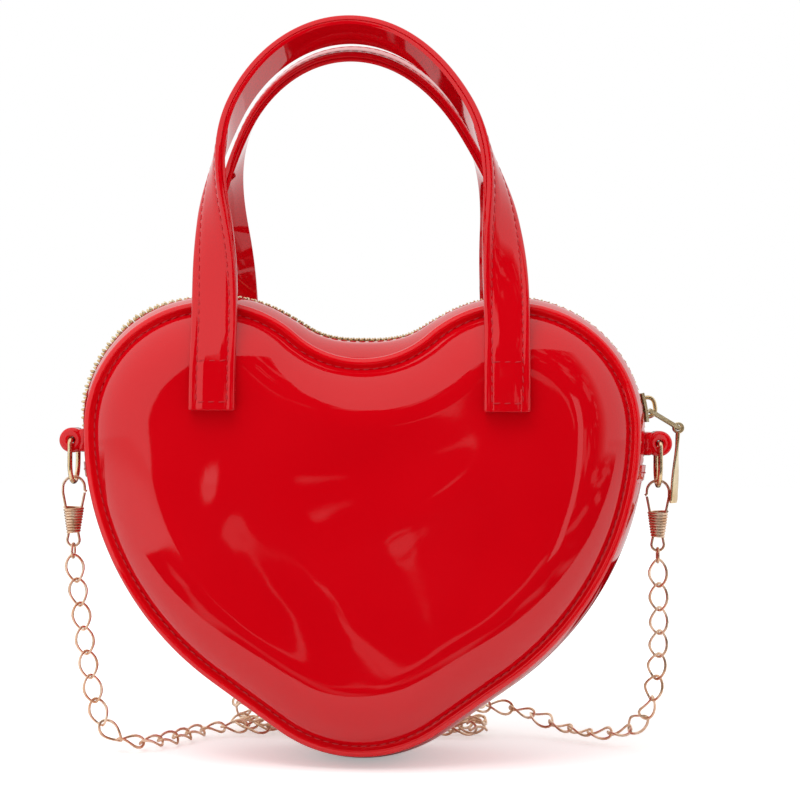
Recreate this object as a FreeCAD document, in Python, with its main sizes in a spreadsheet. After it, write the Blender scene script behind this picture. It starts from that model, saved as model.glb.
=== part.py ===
import FreeCAD, Part
import math
import os
import Sketcher

Vector = FreeCAD.Vector
Rotation = FreeCAD.Rotation
Placement = FreeCAD.Placement

# A heart shaped hand bag of patent sheet: two padded heart panels edged with piping, a gusset
# between them with a zip over the top, two looped handles and a clip-on shoulder chain.
# +X is to the right of the bag, -Y is its front, +Z is up. Heights here are taken from the
# heart's tip. The finished pieces are then lowered so that the origin lies under the handles.

# Driving dimensions in millimetres and degrees: the heart, its depth and its sewn edge.
HEART_SIZES = (
    ("heart_width", 200.0),
    ("heart_height", 163.0),
    ("lobe_radius", 46.0),
    ("cleft_depth_share", 0.376),
    ("side_slope_share", 0.6074),
    ("tip_radius", 50.0),
    ("bag_depth", 56.0),
    ("piping_radius", 2.0),
    ("panel_gap", 0.2),
    ("panel_rise", 13.0),
    ("panel_wall", 1.8),
    ("panel_border", 1.2),
    ("panel_border_rise", 1.0),
    ("panel_dome_run", 22.0),
    ("foam_thickness", 10.5),
    ("layer_gap", 0.2),
    ("lining_thickness", 0.8),
    ("gusset_rise", 4.5),
    ("gusset_wall", 1.6),
    ("gusset_gap", 0.25),
    ("gusset_edge_inset", 2.0),
    ("join_drop", 12.0),
    ("body_gap", 0.3),
)

# The zip: strips, tapes, teeth, stops, slider and pull.
ZIP_SIZES = (
    ("strip_edge", 7.5),
    ("tape_edge", 3.6),
    ("tape_reach", 12.5),
    ("tape_thickness", 0.8),
    ("tooth_inner_edge", 0.8),
    ("tooth_outer_edge", 3.4),
    ("tooth_bottom", 1.8),
    ("tooth_top", 4.2),
    ("tooth_length", 1.3),
    ("tooth_pitch", 2.6),
    ("wing_angle", 35.0),
    ("stop_length", 2.6),
    ("slider_angle", 10.0),
    ("slider_length", 11.0),
    ("slider_width", 10.0),
    ("slider_plate", 1.0),
    ("slider_clearance", 0.35),
    ("slider_throat", 3.3),
    ("slider_post", 0.9),
    ("bridge_length", 8.5),
    ("bridge_height", 4.0),
    ("bridge_width", 3.0),
    ("bridge_bar", 1.2),
    ("link_length", 12.0),
    ("link_wire", 1.4),
    ("link_width", 6.6),
    ("link_droop", 31.0),
    ("pull_length", 28.0),
    ("pull_width", 8.0),
    ("pull_neck_width", 4.4),
    ("pull_thickness", 1.4),
    ("pull_eye_radius", 2.1),
    ("pull_eye_bore", 1.2),
    ("pull_eye_width", 3.4),
    ("pull_corner", 1.6),
)

# The side tabs, rings, wire clips and their coils.
CLIP_SIZES = (
    ("tab_loop_radius", 4.7),
    ("tab_width", 11.0),
    ("tab_bore", 1.25),
    ("tab_drop", 4.5),
    ("tab_foot_thickness", 1.5),
    ("tab_foot_length", 9.0),
    ("tab_seat_gap", 0.2),
    ("ring_wire", 1.8),
    ("ring_width", 14.8),
    ("ring_height", 15.6),
    ("ring_corner", 1.5),
    ("clip_wire_thickness", 1.0),
    ("clip_seat_gap", 0.15),
    ("clip_loop_width", 8.0),
    ("clip_loop_height", 11.5),
    ("clip_neck_width", 1.5),
    ("clip_neck_bend", 3.0),
    ("clip_nose", 1.6),
    ("clip_eye_radius", 2.3),
    ("clip_eye_bend", 1.2),
    ("gate_gap", 0.35),
    ("coil_wire", 0.7),
    ("coil_pitch", 1.15),
    ("coil_turns", 8.0),
    ("coil_top_radius", 3.1),
    ("coil_bottom_radius", 2.15),
    ("jump_radius", 2.7),
    ("jump_wire", 0.9),
    ("jump_slack", 0.2),
)

# The chain: oval links of bent wire.
CHAIN_SIZES = (
    ("link_outer_length", 11.4),
    ("link_outer_width", 7.6),
    ("chain_wire", 1.05),
    ("link_pitch", 9.1),
    ("hank_row_pitch", 7.9),
    ("hank_front", 40.0),
    ("hank_left_end", -54.0),
)

# The two handles: straps sewn on the panels and twisted a quarter turn into an arch.
HANDLE_SIZES = (
    ("handle_rise", 100.0),
    ("handle_spread", 103.5),
    ("handle_leg", 45.0),
    ("handle_lean", 16.0),
    ("back_handle_lean", 20.0),
    ("back_handle_drop", 6.0),
    ("handle_sway", 6.0),
    ("strap_width", 16.0),
    ("strap_top_layer", 2.4),
    ("strap_backing", 1.4),
    ("strap_gap", 0.1),
    ("strap_seat_gap", 0.3),
    ("strap_foot_drop", 39.5),
    ("strap_hinge_drop", 13.0),
    ("twist_start", 2.0),
    ("twist_end", 88.0),
)

# Counts: sections of a handle's half arch, rows of the folded chain and links in a row.
HANDLE_HALF_SECTIONS = 16
HANK_BOTTOM_ROWS = 4
HANK_TOP_ROWS = 3
HANK_ROW_LINKS = 11
COIL_SPANS_PER_TURN = 4

# A link that rises by more than this share of its length counts as hanging rather than lying.
STEEP_SHARE = 0.95

# The chain's free stretches, from below each clip down to the floor and along it to the folded
# rows behind the bag. Heights are from the floor.
LEFT_ROUTE = (
    (-110.0, 0.5, 50.0),
    (-107.0, -4.0, 27.0),
    (-100.0, -9.0, 8.0),
    (-84.0, -4.0, 4.0),
    (-72.0, 16.0, 4.0),
    (-66.0, 34.0, 4.0),
)
RIGHT_ROUTE = (
    (110.0, 1.0, 50.0),
    (108.0, 4.0, 27.0),
    (103.0, 9.0, 9.0),
    (87.0, 22.0, 4.0),
    (74.0, 40.0, 5.0),
    (62.0, 50.0, 10.0),
)

doc = FreeCAD.newDocument("heart_purse")
sheet = doc.addObject("Spreadsheet::Sheet", "sizes")
ALL_SIZES = HEART_SIZES + ZIP_SIZES + CLIP_SIZES + CHAIN_SIZES + HANDLE_SIZES
for row, (alias, value) in enumerate(ALL_SIZES, start=1):
    sheet.set("A%d" % row, alias)
    sheet.set("B%d" % row, str(value))
    sheet.setAlias("B%d" % row, alias)
doc.recompute()


def size(alias):
    """The value of one driving dimension."""
    return float(sheet.get(alias))


# Places worked out from the driving dimensions.
lobe_x = size("heart_width") / 2 - size("lobe_radius")
lobe_z = size("heart_height") - size("lobe_radius")
cleft_depth = size("cleft_depth_share") * lobe_x * math.sqrt(lobe_x / size("lobe_radius"))
cleft_radius = lobe_x**2 / (2 * cleft_depth) + cleft_depth / 2 - size("lobe_radius")
cleft_z = size("heart_height") - cleft_depth + cleft_radius
side_slope = math.atan(size("side_slope_share") * lobe_z / (size("heart_width") / 2))
side_lift = size("tip_radius") * (1 - math.cos(side_slope)) + lobe_z * math.cos(side_slope)
side_run = size("heart_width") / 2 * math.sin(side_slope)
side_radius = (side_lift - side_run) / (1 - math.sin(side_slope))
side_x = size("heart_width") / 2 - side_radius
half_depth = size("bag_depth") / 2
panel_face = half_depth + size("panel_rise")
piping_radius = size("piping_radius")
panel_inset = 2 * piping_radius + size("panel_gap")
panel_inside = panel_face - size("panel_wall")
foam_front = panel_inside - size("layer_gap")
foam_back = foam_front - size("foam_thickness")
border_face = half_depth + size("panel_border_rise")
dome_rise = panel_face - border_face
dome_radius = (size("panel_dome_run") ** 2 + dome_rise**2) / (2 * dome_rise)
dome_center = panel_face - dome_radius
flat_inset = panel_inset + size("panel_border") + size("panel_dome_run")
tip_level = -(size("heart_height") + size("handle_rise"))
floor_level = -size("gusset_rise")

LOBE_X_RULE = "(sizes.heart_width / 2 - sizes.lobe_radius)"
LOBE_Z_RULE = "(sizes.heart_height - sizes.lobe_radius)"
CLEFT_DEPTH_RULE = (
    "(sizes.cleft_depth_share * " + LOBE_X_RULE + " * sqrt(" + LOBE_X_RULE + " / sizes.lobe_radius))"
)
CLEFT_RULE = (
    "(" + LOBE_X_RULE + "^2 / (2 * " + CLEFT_DEPTH_RULE + ") + " + CLEFT_DEPTH_RULE + " / 2"
    " - sizes.lobe_radius)"
)
SLOPE_RULE = "atan(sizes.side_slope_share * " + LOBE_Z_RULE + " / (sizes.heart_width / 2))"
SIDE_LIFT_RULE = (
    "sizes.tip_radius * (1 - cos(" + SLOPE_RULE + ")) + " + LOBE_Z_RULE + " * cos(" + SLOPE_RULE + ")"
)
SIDE_RUN_RULE = "sizes.heart_width / 2 * sin(" + SLOPE_RULE + ")"
SIDE_RULE = "((" + SIDE_LIFT_RULE + " - " + SIDE_RUN_RULE + ") / (1 - sin(" + SLOPE_RULE + ")))"
FLAT_INSET_RULE = (
    "(2 * sizes.piping_radius + sizes.panel_gap + sizes.panel_border + sizes.panel_dome_run)"
)
DOME_RISE_RULE = "(sizes.panel_rise - sizes.panel_border_rise)"
DOME_RADIUS_RULE = (
    "((sizes.panel_dome_run^2 + " + DOME_RISE_RULE + "^2) / (2 * " + DOME_RISE_RULE + "))"
)
TIP_LEVEL_RULE = "-(sizes.heart_height + sizes.handle_rise)"

subparts = []


def keep(piece, label):
    """Name a finished piece and lower it from the heart's tip to the frame under the handles."""
    piece.Label = label
    piece.Placement = Placement(Vector(0, 0, tip_level), Rotation())
    piece.setExpression("Placement.Base.z", TIP_LEVEL_RULE)
    subparts.append(piece)
    return piece


def keep_shape(shape, label):
    """Keep a shape that is worked out here as a piece of its own."""
    piece = doc.addObject("Part::Feature", label)
    piece.Shape = shape
    return keep(piece, label)


def origin_plane(body, role):
    """One of a body's own origin planes."""
    for feature in body.Origin.OriginFeatures:
        if feature.Role == role:
            return feature
    raise ValueError(role)


def new_body(label):
    return doc.addObject("PartDesign::Body", label + "_body")


def new_sketch(body, name, role):
    """An empty sketch on one of the body's own origin planes."""
    sketch = body.newObject("Sketcher::SketchObject", name)
    sketch.AttachmentSupport = [(origin_plane(body, role), "")]
    sketch.MapMode = "FlatFace"
    return sketch


def bind(sketch, constraint, name, rule):
    """Add one driving constraint and tie it to the sheet."""
    index = sketch.addConstraint(constraint)
    sketch.renameConstraint(index, name)
    sketch.setExpression("Constraints." + name, rule)


def polar(center_x, center_z, radius, angle):
    """A point of the XZ plane at an angle from +X towards +Z."""
    return Vector(center_x + radius * math.cos(angle), 0, center_z + radius * math.sin(angle))


# The heart's outline, half by half: angles where its tangent arcs meet.
tip_angle = side_slope - math.pi / 2
cleft_angle = math.atan2(cleft_z - lobe_z, -lobe_x)


def heart_segments():
    """The outline as (kind, centre x, centre z, radius, first angle, last angle), right half upwards.

    A radius is of the outer edge. The cleft bends the other way, so an inset makes it larger.
    """
    return (
        ("tip", 0.0, size("tip_radius"), size("tip_radius"), -math.pi / 2, tip_angle),
        ("line", 0.0, 0.0, 0.0, tip_angle, tip_angle),
        ("side", side_x, lobe_z, side_radius, tip_angle, 0.0),
        ("lobe", lobe_x, lobe_z, size("lobe_radius"), 0.0, cleft_angle),
        ("cleft", 0.0, cleft_z, cleft_radius, cleft_angle - math.pi, -math.pi / 2),
    )


def heart_sketch(body, name, inset_rule, offset_rule):
    """A heart on the XZ plane, drawn in from the outer edge and set forward along -Y."""
    sketch = new_sketch(body, name, "XZ_Plane")
    sketch.setExpression("AttachmentOffset.Base.z", offset_rule)
    up = Vector(0, 0, 1)

    def arc(x, z, radius, first, last):
        circle = Part.Circle(Vector(x, z, 0), up, radius)
        return sketch.addGeometry(Part.ArcOfCircle(circle, first, last), False)

    def line(first, last):
        start = Vector(first.x, first.z, 0)
        end = Vector(last.x, last.z, 0)
        return sketch.addGeometry(Part.LineSegment(start, end), False)

    def on_left(point):
        return Vector(-point.x, point.y, point.z)

    tip_point = polar(0, size("tip_radius"), size("tip_radius"), tip_angle)
    side_point = polar(side_x, lobe_z, side_radius, tip_angle)
    tip = arc(0, size("tip_radius"), size("tip_radius"), math.pi - tip_angle, 2 * math.pi + tip_angle)
    right_line = line(tip_point, side_point)
    right_side = arc(side_x, lobe_z, side_radius, tip_angle, 0)
    right_lobe = arc(lobe_x, lobe_z, size("lobe_radius"), 0, cleft_angle)
    cleft = arc(0, cleft_z, cleft_radius, -cleft_angle, cleft_angle - math.pi)
    left_lobe = arc(-lobe_x, lobe_z, size("lobe_radius"), math.pi - cleft_angle, math.pi)
    left_side = arc(-side_x, lobe_z, side_radius, math.pi, math.pi - tip_angle)
    left_line = line(on_left(side_point), on_left(tip_point))

    start, end, center = 1, 2, 3
    joins = (
        (tip, end, right_line, start),
        (right_line, end, right_side, start),
        (right_side, end, right_lobe, start),
        (right_lobe, end, cleft, end),
        (cleft, start, left_lobe, start),
        (left_lobe, end, left_side, start),
        (left_side, end, left_line, start),
        (left_line, end, tip, start),
    )
    for first, first_end, second, second_end in joins:
        sketch.addConstraint(Sketcher.Constraint("Tangent", first, first_end, second, second_end))

    def place(geometry, label, x, z, x_rule, z_rule):
        x_place = Sketcher.Constraint("DistanceX", -1, 1, geometry, center, x)
        z_place = Sketcher.Constraint("DistanceY", -1, 1, geometry, center, z)
        if x_rule:
            bind(sketch, x_place, label + "_x", x_rule)
        bind(sketch, z_place, label + "_z", z_rule)

    def radius(geometry, label, value, rule):
        bind(sketch, Sketcher.Constraint("Radius", geometry, value), label, rule)

    place(right_lobe, "right_lobe", lobe_x, lobe_z, LOBE_X_RULE, LOBE_Z_RULE)
    place(left_lobe, "left_lobe", -lobe_x, lobe_z, "-" + LOBE_X_RULE, LOBE_Z_RULE)
    place(right_side, "right_side", side_x, lobe_z, "", LOBE_Z_RULE)
    place(left_side, "left_side", -side_x, lobe_z, "", LOBE_Z_RULE)
    sketch.addConstraint(Sketcher.Constraint("PointOnObject", tip, center, -2))
    tip_place = Sketcher.Constraint("DistanceY", -1, 1, tip, center, size("tip_radius"))
    bind(sketch, tip_place, "tip_z", "sizes.tip_radius")
    inward = " - " + inset_rule
    radius(right_lobe, "right_lobe_radius", size("lobe_radius"), "sizes.lobe_radius" + inward)
    radius(left_lobe, "left_lobe_radius", size("lobe_radius"), "sizes.lobe_radius" + inward)
    radius(right_side, "right_side_radius", side_radius, SIDE_RULE + inward)
    radius(left_side, "left_side_radius", side_radius, SIDE_RULE + inward)
    radius(tip, "tip_arc_radius", size("tip_radius"), "sizes.tip_radius" + inward)
    radius(cleft, "cleft_arc_radius", cleft_radius, CLEFT_RULE + " + " + inset_rule)
    return sketch


def heart_pad(label, inset_rule, offset_rule, thickness_rule):
    """A flat heart of even thickness facing forwards."""
    body = new_body(label)
    sketch = heart_sketch(body, label + "_outline", inset_rule, offset_rule)
    pad = body.newObject("PartDesign::Pad", label + "_pad")
    pad.Profile = sketch
    pad.setExpression("Length", thickness_rule)
    doc.recompute()
    return body


def split_box(name, z_rule):
    """A block wider than the bag that marks off everything above its own bottom face."""
    box = doc.addObject("Part::Box", name)
    box.setExpression("Length", "2 * sizes.heart_width")
    box.setExpression("Width", "4 * sizes.bag_depth")
    box.setExpression("Height", "sizes.heart_height")
    box.setExpression("Placement.Base.x", "-sizes.heart_width")
    box.setExpression("Placement.Base.y", "-2 * sizes.bag_depth")
    box.setExpression("Placement.Base.z", z_rule)
    return box


def common(piece, block, label):
    """What a piece shares with a block."""
    shared = doc.addObject("Part::Common", label)
    shared.Base = piece
    shared.Tool = block
    return keep(shared, label)


def mirrored(piece, label, normal):
    """A copy of a piece on the other side of the bag."""
    copy = doc.addObject("Part::Mirroring", label)
    copy.Source = piece
    copy.Normal = normal
    return copy


SIDEWAYS = Vector(1, 0, 0)
BACKWARDS = Vector(0, 1, 0)
UPWARDS = Vector(0, 0, 1)

def part_of(segment, first, last):
    """A stretch of one outline segment between two angles."""
    kind, center_x, center_z, radius, start, end = segment
    return (kind, center_x, center_z, radius, first, last)


def swept_half(section, segments):
    """Carry a section round a run of the right half's segments and join the pieces.

    The section is a function of a place rule, which turns an inset and a depth into a point, and
    of the direction of travel. Arcs turn it about their centres, and the straight run pushes it.
    """
    solids = []
    for kind, center_x, center_z, radius, first, last in segments:
        if kind == "line":
            start = polar(0, size("tip_radius"), size("tip_radius"), first)
            end = polar(side_x, lobe_z, side_radius, first)
            outward = Vector(math.cos(first), 0, math.sin(first))
            face = section(lambda inset, y: start - outward * inset + BACKWARDS * y, end - start)
            solids.append(face.extrude(end - start))
            continue
        bend = -1 if kind == "cleft" else 1

        def at(inset, y):
            return polar(center_x, center_z, radius - bend * inset, first) + BACKWARDS * y

        travel = Vector(-math.sin(first), 0, math.cos(first)) * bend
        face = section(at, travel)
        center = Vector(center_x, 0, center_z)
        solids.append(face.revolve(center, BACKWARDS * -bend, math.degrees(abs(last - first))))
    joined = solids[0]
    if len(solids) > 1:
        joined = solids[0].multiFuse(solids[1:]).removeSplitter()
    return joined


def both_halves(half):
    """A right half that reaches the middle, joined to its mirror image."""
    return half.fuse(half.mirror(Vector(), SIDEWAYS)).removeSplitter()


def left_and_right(half):
    """A right piece and its mirror image as two separate solids."""
    return Part.makeCompound([half, half.mirror(Vector(), SIDEWAYS)])


TIP, LINE, SIDE, LOBE, CLEFT = heart_segments()
gap_angle = size("body_gap") / size("lobe_radius")
join_angle = -math.asin(size("join_drop") / side_radius)
seam_angle = join_angle + size("body_gap") / side_radius
wing_angle = math.radians(size("wing_angle"))


# Layers of each face, from the patent sheet inwards: panel, foam, lining. Each has a flat middle,
# and the panel and foam round off from it, in an arc, towards the sewn edge.
def dome_arc(at, radius, foot):
    """An arc about the dome's centre, from the flat middle out to where it meets a depth."""
    angle = math.acos((foot - dome_center) / radius)
    points = []
    for share in (0, 0.5, 1):
        inset = flat_inset - radius * math.sin(share * angle)
        points.append(at(inset, -dome_center - radius * math.cos(share * angle)))
    return points


def panel_rim(at, travel):
    """The panel's sewn border and the even wall of its dome."""
    outer = dome_arc(at, dome_radius, border_face)
    inner = dome_arc(at, dome_radius - size("panel_wall"), half_depth)
    edges = [Part.Arc(*outer).toShape(), Part.Arc(*inner).toShape()]
    stops = [outer[-1], at(panel_inset, -border_face), at(panel_inset, -half_depth), inner[-1]]
    edges += [Part.LineSegment(first, last).toShape() for first, last in zip(stops, stops[1:])]
    edges.append(Part.LineSegment(inner[0], outer[0]).toShape())
    return Part.Face(Part.Wire(Part.__sortEdges__(edges)))


def foam_rim(at, travel):
    """The foam under the panel's dome, flat behind."""
    outer = dome_arc(at, foam_front - dome_center, foam_back)
    corner = at(flat_inset, -foam_back)
    edges = [
        Part.Arc(*outer).toShape(),
        Part.LineSegment(outer[-1], corner).toShape(),
        Part.LineSegment(corner, outer[0]).toShape(),
    ]
    return Part.Face(Part.Wire(edges))


def domed_heart(label, offset_rule, thickness_rule, rim_section):
    """A flat heart joined to the rim that rounds off from it."""
    middle = heart_pad(label + "_middle", FLAT_INSET_RULE, offset_rule, thickness_rule)
    rim = doc.addObject("Part::Feature", label + "_rim")
    rim.Shape = both_halves(swept_half(rim_section, heart_segments()))
    whole = doc.addObject("Part::MultiFuse", label)
    whole.Shapes = [middle, rim]
    whole.Refine = True
    doc.recompute()
    return whole


PANEL_INSIDE_RULE = "(sizes.bag_depth / 2 + sizes.panel_rise - sizes.panel_wall)"
FOAM_BACK_RULE = "(" + PANEL_INSIDE_RULE + " - sizes.layer_gap - sizes.foam_thickness)"
LINING_BACK_RULE = "(" + FOAM_BACK_RULE + " - sizes.layer_gap - sizes.lining_thickness)"
INSIDE_RADIUS_RULE = "(" + DOME_RADIUS_RULE + " - sizes.panel_wall)"
LINING_REACH_RULE = (
    "sqrt(" + INSIDE_RADIUS_RULE + "^2"
    " - (" + INSIDE_RADIUS_RULE + " - sizes.foam_thickness - 2 * sizes.layer_gap)^2)"
)
LINING_INSET_RULE = "(" + FLAT_INSET_RULE + " - " + LINING_REACH_RULE + " + sizes.layer_gap)"
layers = (
    ("panel", domed_heart("panel", PANEL_INSIDE_RULE, "sizes.panel_wall", panel_rim)),
    ("foam_pad", domed_heart("foam", FOAM_BACK_RULE, "sizes.foam_thickness", foam_rim)),
    ("lining", heart_pad("lining", LINING_INSET_RULE, LINING_BACK_RULE, "sizes.lining_thickness")),
)
upper_block = split_box("above_fold", LOBE_Z_RULE + " + sizes.body_gap")
lower_block = split_box("below_fold", LOBE_Z_RULE + " - sizes.heart_height")
for layer_name, layer in layers:
    common(layer, upper_block, "front_upper_" + layer_name)
    common(layer, lower_block, "front_lower_" + layer_name)
    keep(mirrored(layer, "back_" + layer_name, BACKWARDS), "back_" + layer_name)


def piping_section(side):
    """A round cord just inside the outer edge, in the plane of one face's seam."""
    def section(at, travel):
        circle = Part.makeCircle(piping_radius, at(piping_radius, side * half_depth), travel)
        return Part.Face(Part.Wire(circle))
    return section


# Piping: whole on the back, and parted at the fold on the front.
upper_lobe = part_of(LOBE, gap_angle, cleft_angle)
front_piping = piping_section(-1)
keep_shape(both_halves(swept_half(front_piping, (TIP, LINE, SIDE))), "front_lower_piping")
keep_shape(both_halves(swept_half(front_piping, (upper_lobe, CLEFT))), "front_upper_piping")
keep_shape(both_halves(swept_half(piping_section(1), (TIP, LINE, SIDE, LOBE, CLEFT))), "back_piping")

gusset_edge = half_depth - piping_radius - size("gusset_gap")
arch_height = size("gusset_rise") + size("gusset_edge_inset")
arch_radius = (gusset_edge**2 + arch_height**2) / (2 * arch_height)
arch_center = arch_radius - size("gusset_rise")


def arch_inset(depth, y):
    """How far inside the outline the gusset's arch lies, at a depth under its face."""
    return arch_center - math.sqrt((arch_radius - depth)**2 - y**2)


def arch_band(outer_depth, inner_depth, first, last):
    """A band of the arched gusset between two depths under its face and two places across it."""
    def section(at, travel):
        middle = (first + last) / 2

        def point(depth, y):
            return at(arch_inset(depth, y), y)

        outer = Part.Arc(point(outer_depth, first), point(outer_depth, middle), point(outer_depth, last))
        inner = Part.Arc(point(inner_depth, last), point(inner_depth, middle), point(inner_depth, first))
        sides = [
            Part.LineSegment(point(outer_depth, last), point(inner_depth, last)),
            Part.LineSegment(point(inner_depth, first), point(outer_depth, first)),
        ]
        edges = [outer.toShape(), sides[0].toShape(), inner.toShape(), sides[1].toShape()]
        return Part.Face(Part.Wire(edges))
    return section


# The gusset below the zip, and its lining.
gusset_wall = size("gusset_wall")
lining_top = gusset_wall + size("layer_gap")
lining_edge = gusset_edge - size("gusset_gap")
lower_side = part_of(SIDE, tip_angle, join_angle)
gusset_run = (TIP, LINE, lower_side)
gusset_section = arch_band(0, gusset_wall, -gusset_edge, gusset_edge)
gusset_lining_section = arch_band(
    lining_top, lining_top + size("lining_thickness"), -lining_edge, lining_edge
)
keep_shape(both_halves(swept_half(gusset_section, gusset_run)), "lower_gusset")
keep_shape(both_halves(swept_half(gusset_lining_section, gusset_run)), "gusset_lining")

# Zip strips and tapes: whole on the back, and with their ends parted from the flap on the front.
end_side = part_of(SIDE, seam_angle, 0.0)
end_lobe = part_of(LOBE, 0.0, wing_angle)
flap_lobe = part_of(LOBE, wing_angle + gap_angle, cleft_angle)
tape_bottom = lining_top + size("tape_thickness")
bands = (
    ("zip_strip", 0.0, gusset_wall, size("strip_edge"), gusset_edge),
    ("zip_tape", lining_top, tape_bottom, size("tape_edge"), size("tape_reach")),
)
for band_name, outer_depth, inner_depth, near, far in bands:
    back_band = arch_band(outer_depth, inner_depth, near, far)
    front_band = arch_band(outer_depth, inner_depth, -far, -near)
    keep_shape(both_halves(swept_half(back_band, (end_side, LOBE, CLEFT))), "back_" + band_name)
    keep_shape(both_halves(swept_half(front_band, (flap_lobe, CLEFT))), "front_" + band_name)
    end_band = swept_half(front_band, (end_side, end_lobe))
    keep_shape(left_and_right(end_band), "front_" + band_name + "_ends")


def zip_places(offset):
    """Each tooth's segment and angle along the right half of the zip line, an even pitch apart."""
    runs = []
    for kind, center_x, center_z, radius, first, last in (LOBE, CLEFT):
        bend = -1 if kind == "cleft" else 1
        reach = radius + bend * offset
        runs.append((center_x, center_z, radius, first, bend, reach, reach * abs(last - first)))
    total = sum(run[-1] for run in runs)
    count = round(total / size("tooth_pitch"))
    step = total / count
    places = []
    for index in range(count):
        along = (index + 0.5) * step
        run = runs[0]
        if along > run[-1]:
            along -= run[-1]
            run = runs[1]
        center_x, center_z, radius, first, bend, reach, length = run
        places.append((center_x, center_z, radius, first + bend * along / reach, bend))
    return places


def zip_block(place, length, inner_edge, outer_edge, bottom, top):
    """A block across the zip line, with its length along it and its height square to it."""
    center_x, center_z, radius, angle, bend = place
    block = Part.makeBox(top - bottom, outer_edge - inner_edge, length)
    block.translate(Vector(bend * radius + bottom, inner_edge, -length / 2))
    if bend < 0:
        angle += math.pi
    turn = Rotation(BACKWARDS, -math.degrees(angle))
    block.Placement = Placement(Vector(center_x, 0, center_z), turn) * block.Placement
    return block


def to_front(shape):
    return shape.mirror(Vector(), BACKWARDS)


# Teeth: one row on each tape.
tooth_middle = (size("tooth_bottom") + size("tooth_top")) / 2
end_teeth = []
main_teeth = []
for place in zip_places(tooth_middle):
    tooth = zip_block(
        place,
        size("tooth_length"),
        size("tooth_inner_edge"),
        size("tooth_outer_edge"),
        size("tooth_bottom"),
        size("tooth_top"),
    )
    row = main_teeth
    if place[-1] > 0 and place[3] < wing_angle:
        row = end_teeth
    row.append(tooth)
end_row = left_and_right(Part.makeCompound(end_teeth))
main_row = left_and_right(Part.makeCompound(main_teeth))
keep_shape(Part.makeCompound(end_row.Solids + main_row.Solids), "back_zip_teeth")
keep_shape(Part.makeCompound(to_front(main_row).Solids), "front_zip_teeth")
keep_shape(Part.makeCompound(to_front(end_row).Solids), "front_zip_teeth_ends")

# A stop bridges both rows at each end.
stop_place = (side_x, lobe_z, side_radius, -size("stop_length") / side_radius, 1)
stop = zip_block(
    stop_place,
    size("stop_length"),
    -size("tooth_outer_edge"),
    size("tooth_outer_edge"),
    size("tooth_bottom"),
    size("tooth_top"),
)
keep_shape(left_and_right(stop), "zip_stops")


def drawn(sketch, corners):
    """Draw a closed outline whose corners are tied to the sheet, each a pair of rules."""
    numbers = [tuple(float(sheet.evalExpression(rule)) for rule in corner) for corner in corners]
    points = [Vector(x, y, 0) for x, y in numbers]
    lines = []
    for start, end in zip(points, points[1:] + points[:1]):
        lines.append(sketch.addGeometry(Part.LineSegment(start, end), False))
    for line, following in zip(lines, lines[1:] + lines[:1]):
        sketch.addConstraint(Sketcher.Constraint("Coincident", line, 2, following, 1))
    for line, point, corner in zip(lines, points, corners):
        across = Sketcher.Constraint("DistanceX", -1, 1, line, 1, point.x)
        along = Sketcher.Constraint("DistanceY", -1, 1, line, 1, point.y)
        bind(sketch, across, "across_%d" % line, corner[0])
        bind(sketch, along, "along_%d" % line, corner[1])


def drawn_circle(sketch, radius_rule):
    """A circle about the sketch's own origin."""
    radius = float(sheet.evalExpression(radius_rule))
    circle = sketch.addGeometry(Part.Circle(Vector(), UPWARDS, radius), False)
    sketch.addConstraint(Sketcher.Constraint("Coincident", circle, 3, -1, 1))
    bind(sketch, Sketcher.Constraint("Radius", circle, radius), "radius_%d" % circle, radius_rule)


def rectangle(left, right, bottom, top):
    """The four corners of an upright rectangle, as rules."""
    return ((left, bottom), (right, bottom), (right, top), (left, top))


def pad_both_ways(body, sketch, name, length_rule):
    """Thicken a sketch evenly to both sides of its plane."""
    pad = body.newObject("PartDesign::Pad", name)
    pad.Profile = sketch
    pad.Midplane = True
    pad.setExpression("Length", length_rule)
    doc.recompute()
    return pad


def pocket_through(body, sketch, name):
    """Cut a sketch through everything, to both sides of its plane."""
    pocket = body.newObject("PartDesign::Pocket", name)
    pocket.Profile = sketch
    pocket.Type = "ThroughAll"
    pocket.Midplane = True
    doc.recompute()
    return pocket


def keep_at(piece, label, place):
    """Keep a piece that is drawn about its own pivot, set at its place above the heart's tip."""
    piece.Label = label
    piece.Placement = Placement(Vector(0, 0, tip_level), Rotation()) * place
    subparts.append(piece)
    return piece


# The slider, drawn about the right lobe's centre with its radius along X and its travel along Z.
slider_place = Placement(Vector(lobe_x, 0, lobe_z), Rotation(BACKWARDS, -size("slider_angle")))
PLATE_BOTTOM_RULE = "(sizes.lobe_radius + sizes.tooth_top + sizes.slider_clearance)"
PLATE_TOP_RULE = "(" + PLATE_BOTTOM_RULE + " + sizes.slider_plate)"
INNER_TOP_RULE = "(" + PLATE_BOTTOM_RULE + " - sizes.slider_throat)"
INNER_BOTTOM_RULE = "(" + INNER_TOP_RULE + " - sizes.slider_plate)"


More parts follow.
